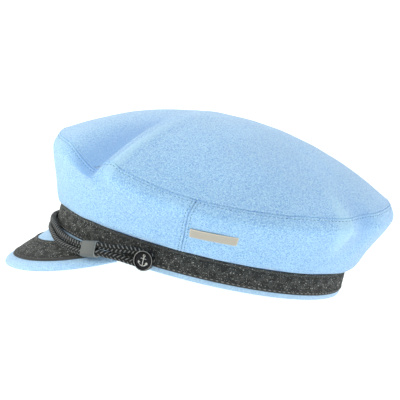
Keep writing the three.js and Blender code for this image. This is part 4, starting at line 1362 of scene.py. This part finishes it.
CAMERA_TURN = math.radians(96)
CAMERA_RISE = math.radians(9.937)
CAMERA_ROLL = math.radians(12.969)
CAMERA_DISTANCE = 1.5
CAMERA_TARGET = np.array([0, 0, 35 * MM])
PIXELS = 400
PIXELS_PER_METRE = 1430.6
TARGET_PIXEL = (208.70, 210.25)
FLOOR_REACH = 30
LAMP_SIZE = 1.4
LAMP_TARGET = (0, 0, 0.05)
REAR_LAMP = (0.4, 2.1, 1.2)
FRONT_LAMP = (0.5, -2.0, 1.1)
FRONT_LAMP_SHARE = 4.2


def build_camera():
    side, rise, roll = CAMERA_TURN, CAMERA_RISE, CAMERA_ROLL
    back = np.array([math.sin(side) * math.cos(rise), -math.cos(side) * math.cos(rise), math.sin(rise)])
    level_right = np.array([math.cos(side), math.sin(side), 0])
    level_up = np.cross(back, level_right)
    right = level_right * math.cos(roll) + level_up * math.sin(roll)
    up = -level_right * math.sin(roll) + level_up * math.cos(roll)
    place = CAMERA_TARGET + back * CAMERA_DISTANCE
    off_x, off_y = ((pixel - PIXELS / 2) / PIXELS_PER_METRE for pixel in TARGET_PIXEL)
    aim = CAMERA_TARGET - right * off_x + up * off_y
    place_row, aim_row = to_row(place), to_row(aim)
    up_row = to_row(place + up) - place_row
    look_back = unit(place_row - aim_row)
    across = unit(np.cross(up_row, look_back))
    upright = np.cross(look_back, across)
    data = bpy.data.cameras.new("camera")
    data.sensor_width = 36
    data.lens = PIXELS_PER_METRE * CAMERA_DISTANCE / PIXELS * data.sensor_width
    data.clip_start, data.clip_end = 0.05, 60
    camera = add_object("camera", data)
    turn = Matrix(np.stack([across, upright, look_back], 1).tolist()).to_4x4()
    camera.matrix_world = Matrix.Translation(Vector(place_row)) @ turn
    bpy.context.scene.camera = camera


def add_light(name, place, power, colour=(1, 1, 1)):
    data = bpy.data.lights.new(name, "AREA")
    data.color = colour
    data.size = LAMP_SIZE
    data.energy = power
    light = add_object(name, data)
    light.location = place
    light.rotation_euler = (Vector(LAMP_TARGET) - Vector(place)).to_track_quat("-Z", "Y").to_euler()


def studio_surroundings(sizes):
    """Soft white all round: brightest beyond the cap, dimmer overhead and on the camera's side."""
    sky = Finish(bpy.data.worlds.new("studio"))
    place = sky.node("ShaderNodeSeparateXYZ", {}, {0: sky.node("ShaderNodeTexCoord", output="Generated")})
    beyond, over = ((light, light, light, 1) for light in (sizes.far_light, sizes.top_light))
    near = rgba(sizes.bounce_colour, sizes.near_light)
    level = sky.mix(sky.ramp(place, -0.5, 0.9), beyond, near)
    height = sky.ramp(sky.other_output(place, "Z"), 0.1, 0.9)
    glow = sky.node("ShaderNodeBackground", {}, {"Color": sky.mix(height, level, over), "Strength": 1})
    return sky.close(glow, "ShaderNodeOutputWorld")


def build_stage(sizes):
    corners = [(x * FLOOR_REACH, y * FLOOR_REACH, 0) for x, y in ((-1, -1), (1, -1), (1, 1), (-1, 1))]
    mesh = bpy.data.meshes.new("floor")
    mesh.from_pydata(corners, [], [(0, 1, 2, 3)])
    mesh.materials.append(pale_floor(sizes))
    add_object("floor", mesh)
    bpy.context.scene.world = studio_surroundings(sizes)
    add_light("rear_lamp", REAR_LAMP, sizes.lamp_light)
    add_light("front_lamp", FRONT_LAMP, FRONT_LAMP_SHARE * sizes.lamp_light, sizes.front_colour)
    bpy.context.scene.view_settings.view_transform = "Standard"
    build_camera()


# Add-on

def slot_colour(slot):
    found = [m["base_color"] for m in frame["record"]["materials"] if m["slot"] == slot]
    return tuple(found[0][:3])


def float_value(name, default, description, **settings):
    return bpy.props.FloatProperty(name=name, default=default, description=description, **settings)


def length_value(name, default, description):
    return float_value(name, default, description, unit="LENGTH", precision=5)


def colour_value(name, default, description):
    return bpy.props.FloatVectorProperty(
        name=name, default=default, description=description, subtype="COLOR", size=3, min=0, max=1)


class FeltCapSizes(bpy.types.PropertyGroup):
    """Sizes and colours of the cap's fine detail."""
    seam_depth: length_value("Seam depth", 0.5 * MM, "How deep the felt's edges turn into a seam")
    seam_to_stitch: length_value("Seam to stitches", 2.0 * MM, "From a seam to its topstitches")
    stitch_pitch: length_value("Stitch pitch", 2.9 * MM, "Distance from one topstitch to the next")
    stitch_length: length_value("Stitch length", 1.7 * MM, "Length of one topstitch")
    felt_unevenness: length_value("Felt unevenness", 0.55 * MM, "Height of the felt's slow hills")
    peak_pillow: length_value("Peak pillow", 0.6 * MM, "How much the felt swells beside its braid")
    braid_motif: length_value("Braid motif", 12 * MM, "Length of the braid's repeating pattern")
    braid_relief: length_value("Braid relief", 0.45 * MM, "Height of the braid's raised pattern")
    braid_stitch_inset: length_value("Braid stitch inset", 1.4 * MM, "Stitches above the braid's lower edge")
    braid_stitch_pitch: length_value("Braid stitch pitch", 3.7 * MM, "From one stitch to the next")
    cord_relief: length_value("Cord relief", 0.32 * MM, "Depth between the cord's yarns")
    cord_plait: length_value("Cord plait", 3 * MM, "Length along the cord from one yarn to the next")
    cord_slant: float_value("Cord slant", 0.9, "Lean of the plaited yarns")
    button_relief: length_value("Button relief", 0.3 * MM, "Height of the button's raised figure")
    felt_colour: colour_value("Felt", slot_colour("wool_felt"), "Light fibres of the felt")
    # Besides fibres, the deep felt colour gives the painted shade in dents and folds and, darkened, the
    # stitches' painted shade; the pale one gives the painted highlight on ridges.
    felt_deep_colour: colour_value("Felt, deep", (0.21, 0.42, 0.8), "Deeper fibres of the felt")
    felt_pale_colour: colour_value("Felt, pale", (0.54, 0.82, 1.0), "Palest fibres of the felt")
    # The next colour is painted light: the head band and peak are painted towards it all over.
    felt_painted_light_colour: colour_value("Felt, rubbed", (0.61, 0.79, 0.95), "Rubbed felt of peak and band")
    felt_sheen: float_value("Felt sheen", 0.55, "Soft light on the nap's edges")
    braid_colour: colour_value("Braid", slot_colour("black_braid"), "Braid's yarn")
    braid_float_colour: colour_value("Braid, floats", (0.23, 0.232, 0.215), "Lit loose threads of the braid")
    braid_edge_colour: colour_value("Braid, selvedge", (0.062, 0.061, 0.06), "Braid's plain edges")
    cord_colour: colour_value("Cord", slot_colour("black_cord"), "Cord's yarn")
    cord_crest_colour: colour_value("Cord, crests", (0.3, 0.3, 0.29), "Lit crests of the cord's yarns")
    stitch_colour: colour_value("Braid stitches", (0.42, 0.41, 0.37), "Thread that shows on the braid")
    slide_colour: colour_value("Slides", slot_colour("grey_slide"), "Slides on the cord")
    button_colour: colour_value("Buttons", slot_colour("gunmetal"), "Buttons' metal")
    # This colour is the brighter metal of the buttons' raised anchor and, on the rim's top, a painted
    # highlight.
    button_crest_colour: colour_value("Buttons, worn", (0.5, 0.49, 0.46), "The buttons' bright raised edges")
    plate_colour: colour_value("Plate", slot_colour("brushed_nickel"), "Bare plate's metal")
    plate_warm_colour: colour_value("Plate, warm", (0.57, 0.49, 0.385), "Warm strokes in the plate's metal")
    floor_colour: colour_value("Floor", (0.36, 0.36, 0.36), "Studio floor, under its own glow")
    bounce_colour: colour_value("Bounced light", (0.94, 1.0, 0.98), "Tint of light off floor and room")
    front_colour: colour_value("Front lamp", (0.95, 1.0, 0.92), "Tint of the lamp before the cap")
    floor_glow: float_value("Floor glow", 1.0, "Light from the floor itself")
    far_light: float_value("Far light", 1.8, "Studio light from beyond the cap")
    near_light: float_value("Near light", 0.45, "Light from the camera's side")
    top_light: float_value("Top light", 0.83, "Studio light from overhead")
    lamp_light: float_value("Lamps", 6, "Power of the rear lamp, which the front one follows", unit="POWER")


def built(context, *builders):
    for build in builders:
        build(context.scene.felt_cap)
    return {"FINISHED"}


class CrownOperator(bpy.types.Operator):
    """Make the crown's top and side panels"""
    bl_idname = "felt_cap.crown"
    bl_label = "Crown"

    def execute(self, context):
        return built(context, build_crown_top, build_side_panels)


class BandOperator(bpy.types.Operator):
    """Make the head band"""
    bl_idname = "felt_cap.head_band"
    bl_label = "Head band"

    def execute(self, context):
        return built(context, build_head_band)


class PeakOperator(bpy.types.Operator):
    """Make the peak"""
    bl_idname = "felt_cap.peak"
    bl_label = "Peak"

    def execute(self, context):
        return built(context, build_peak)


class BraidOperator(bpy.types.Operator):
    """Make the band's braid and the peak's braid"""
    bl_idname = "felt_cap.braids"
    bl_label = "Braids"

    def execute(self, context):
        return built(context, build_band_braid, build_peak_braid)


class CordOperator(bpy.types.Operator):
    """Make the doubled cord"""
    bl_idname = "felt_cap.cord"
    bl_label = "Cord"

    def execute(self, context):
        return built(context, build_cord)


class SlideOperator(bpy.types.Operator):
    """Make the cord's two slides"""
    bl_idname = "felt_cap.slides"
    bl_label = "Slides"

    def execute(self, context):
        return built(context, build_slides)


class ButtonOperator(bpy.types.Operator):
    """Make the two anchor buttons"""
    bl_idname = "felt_cap.buttons"
    bl_label = "Buttons"

    def execute(self, context):
        return built(context, build_buttons)


class PlateOperator(bpy.types.Operator):
    """Make the bare plate on the side"""
    bl_idname = "felt_cap.plate"
    bl_label = "Plate"

    def execute(self, context):
        return built(context, build_plate)


class StitchOperator(bpy.types.Operator):
    """Make the seams' and the braid's stitches"""
    bl_idname = "felt_cap.stitches"
    bl_label = "Stitches"

    def execute(self, context):
        return built(context, build_crown_stitches, build_side_stitches, build_braid_stitches)


class StageOperator(bpy.types.Operator):
    """Make the floor, the lights and the camera"""
    bl_idname = "felt_cap.stage"
    bl_label = "Stage"

    def execute(self, context):
        return built(context, build_stage)


OPERATORS = [
    CrownOperator, BandOperator, PeakOperator, BraidOperator, CordOperator,
    SlideOperator, ButtonOperator, PlateOperator, StitchOperator, StageOperator,
]


class FeltCapPanel(bpy.types.Panel):
    bl_idname = "VIEW3D_PT_felt_cap"
    bl_label = "Felt cap"
    bl_space_type = "VIEW_3D"
    bl_region_type = "UI"
    bl_category = "Felt cap"

    def draw(self, context):
        for name in FeltCapSizes.__annotations__:
            self.layout.prop(context.scene.felt_cap, name)
        for operator in OPERATORS:
            self.layout.operator(operator.bl_idname)


CLASSES = [FeltCapSizes, *OPERATORS, FeltCapPanel]


def register():
    for kind in CLASSES:
        bpy.utils.register_class(kind)
    bpy.types.Scene.felt_cap = bpy.props.PointerProperty(type=FeltCapSizes)


def unregister():
    del bpy.types.Scene.felt_cap
    for kind in reversed(CLASSES):
        bpy.utils.unregister_class(kind)


def main():
    register()
    for operator in OPERATORS:
        group, name = operator.bl_idname.split(".")
        getattr(getattr(bpy.ops, group), name)()


if __name__ == "__main__":
    main()
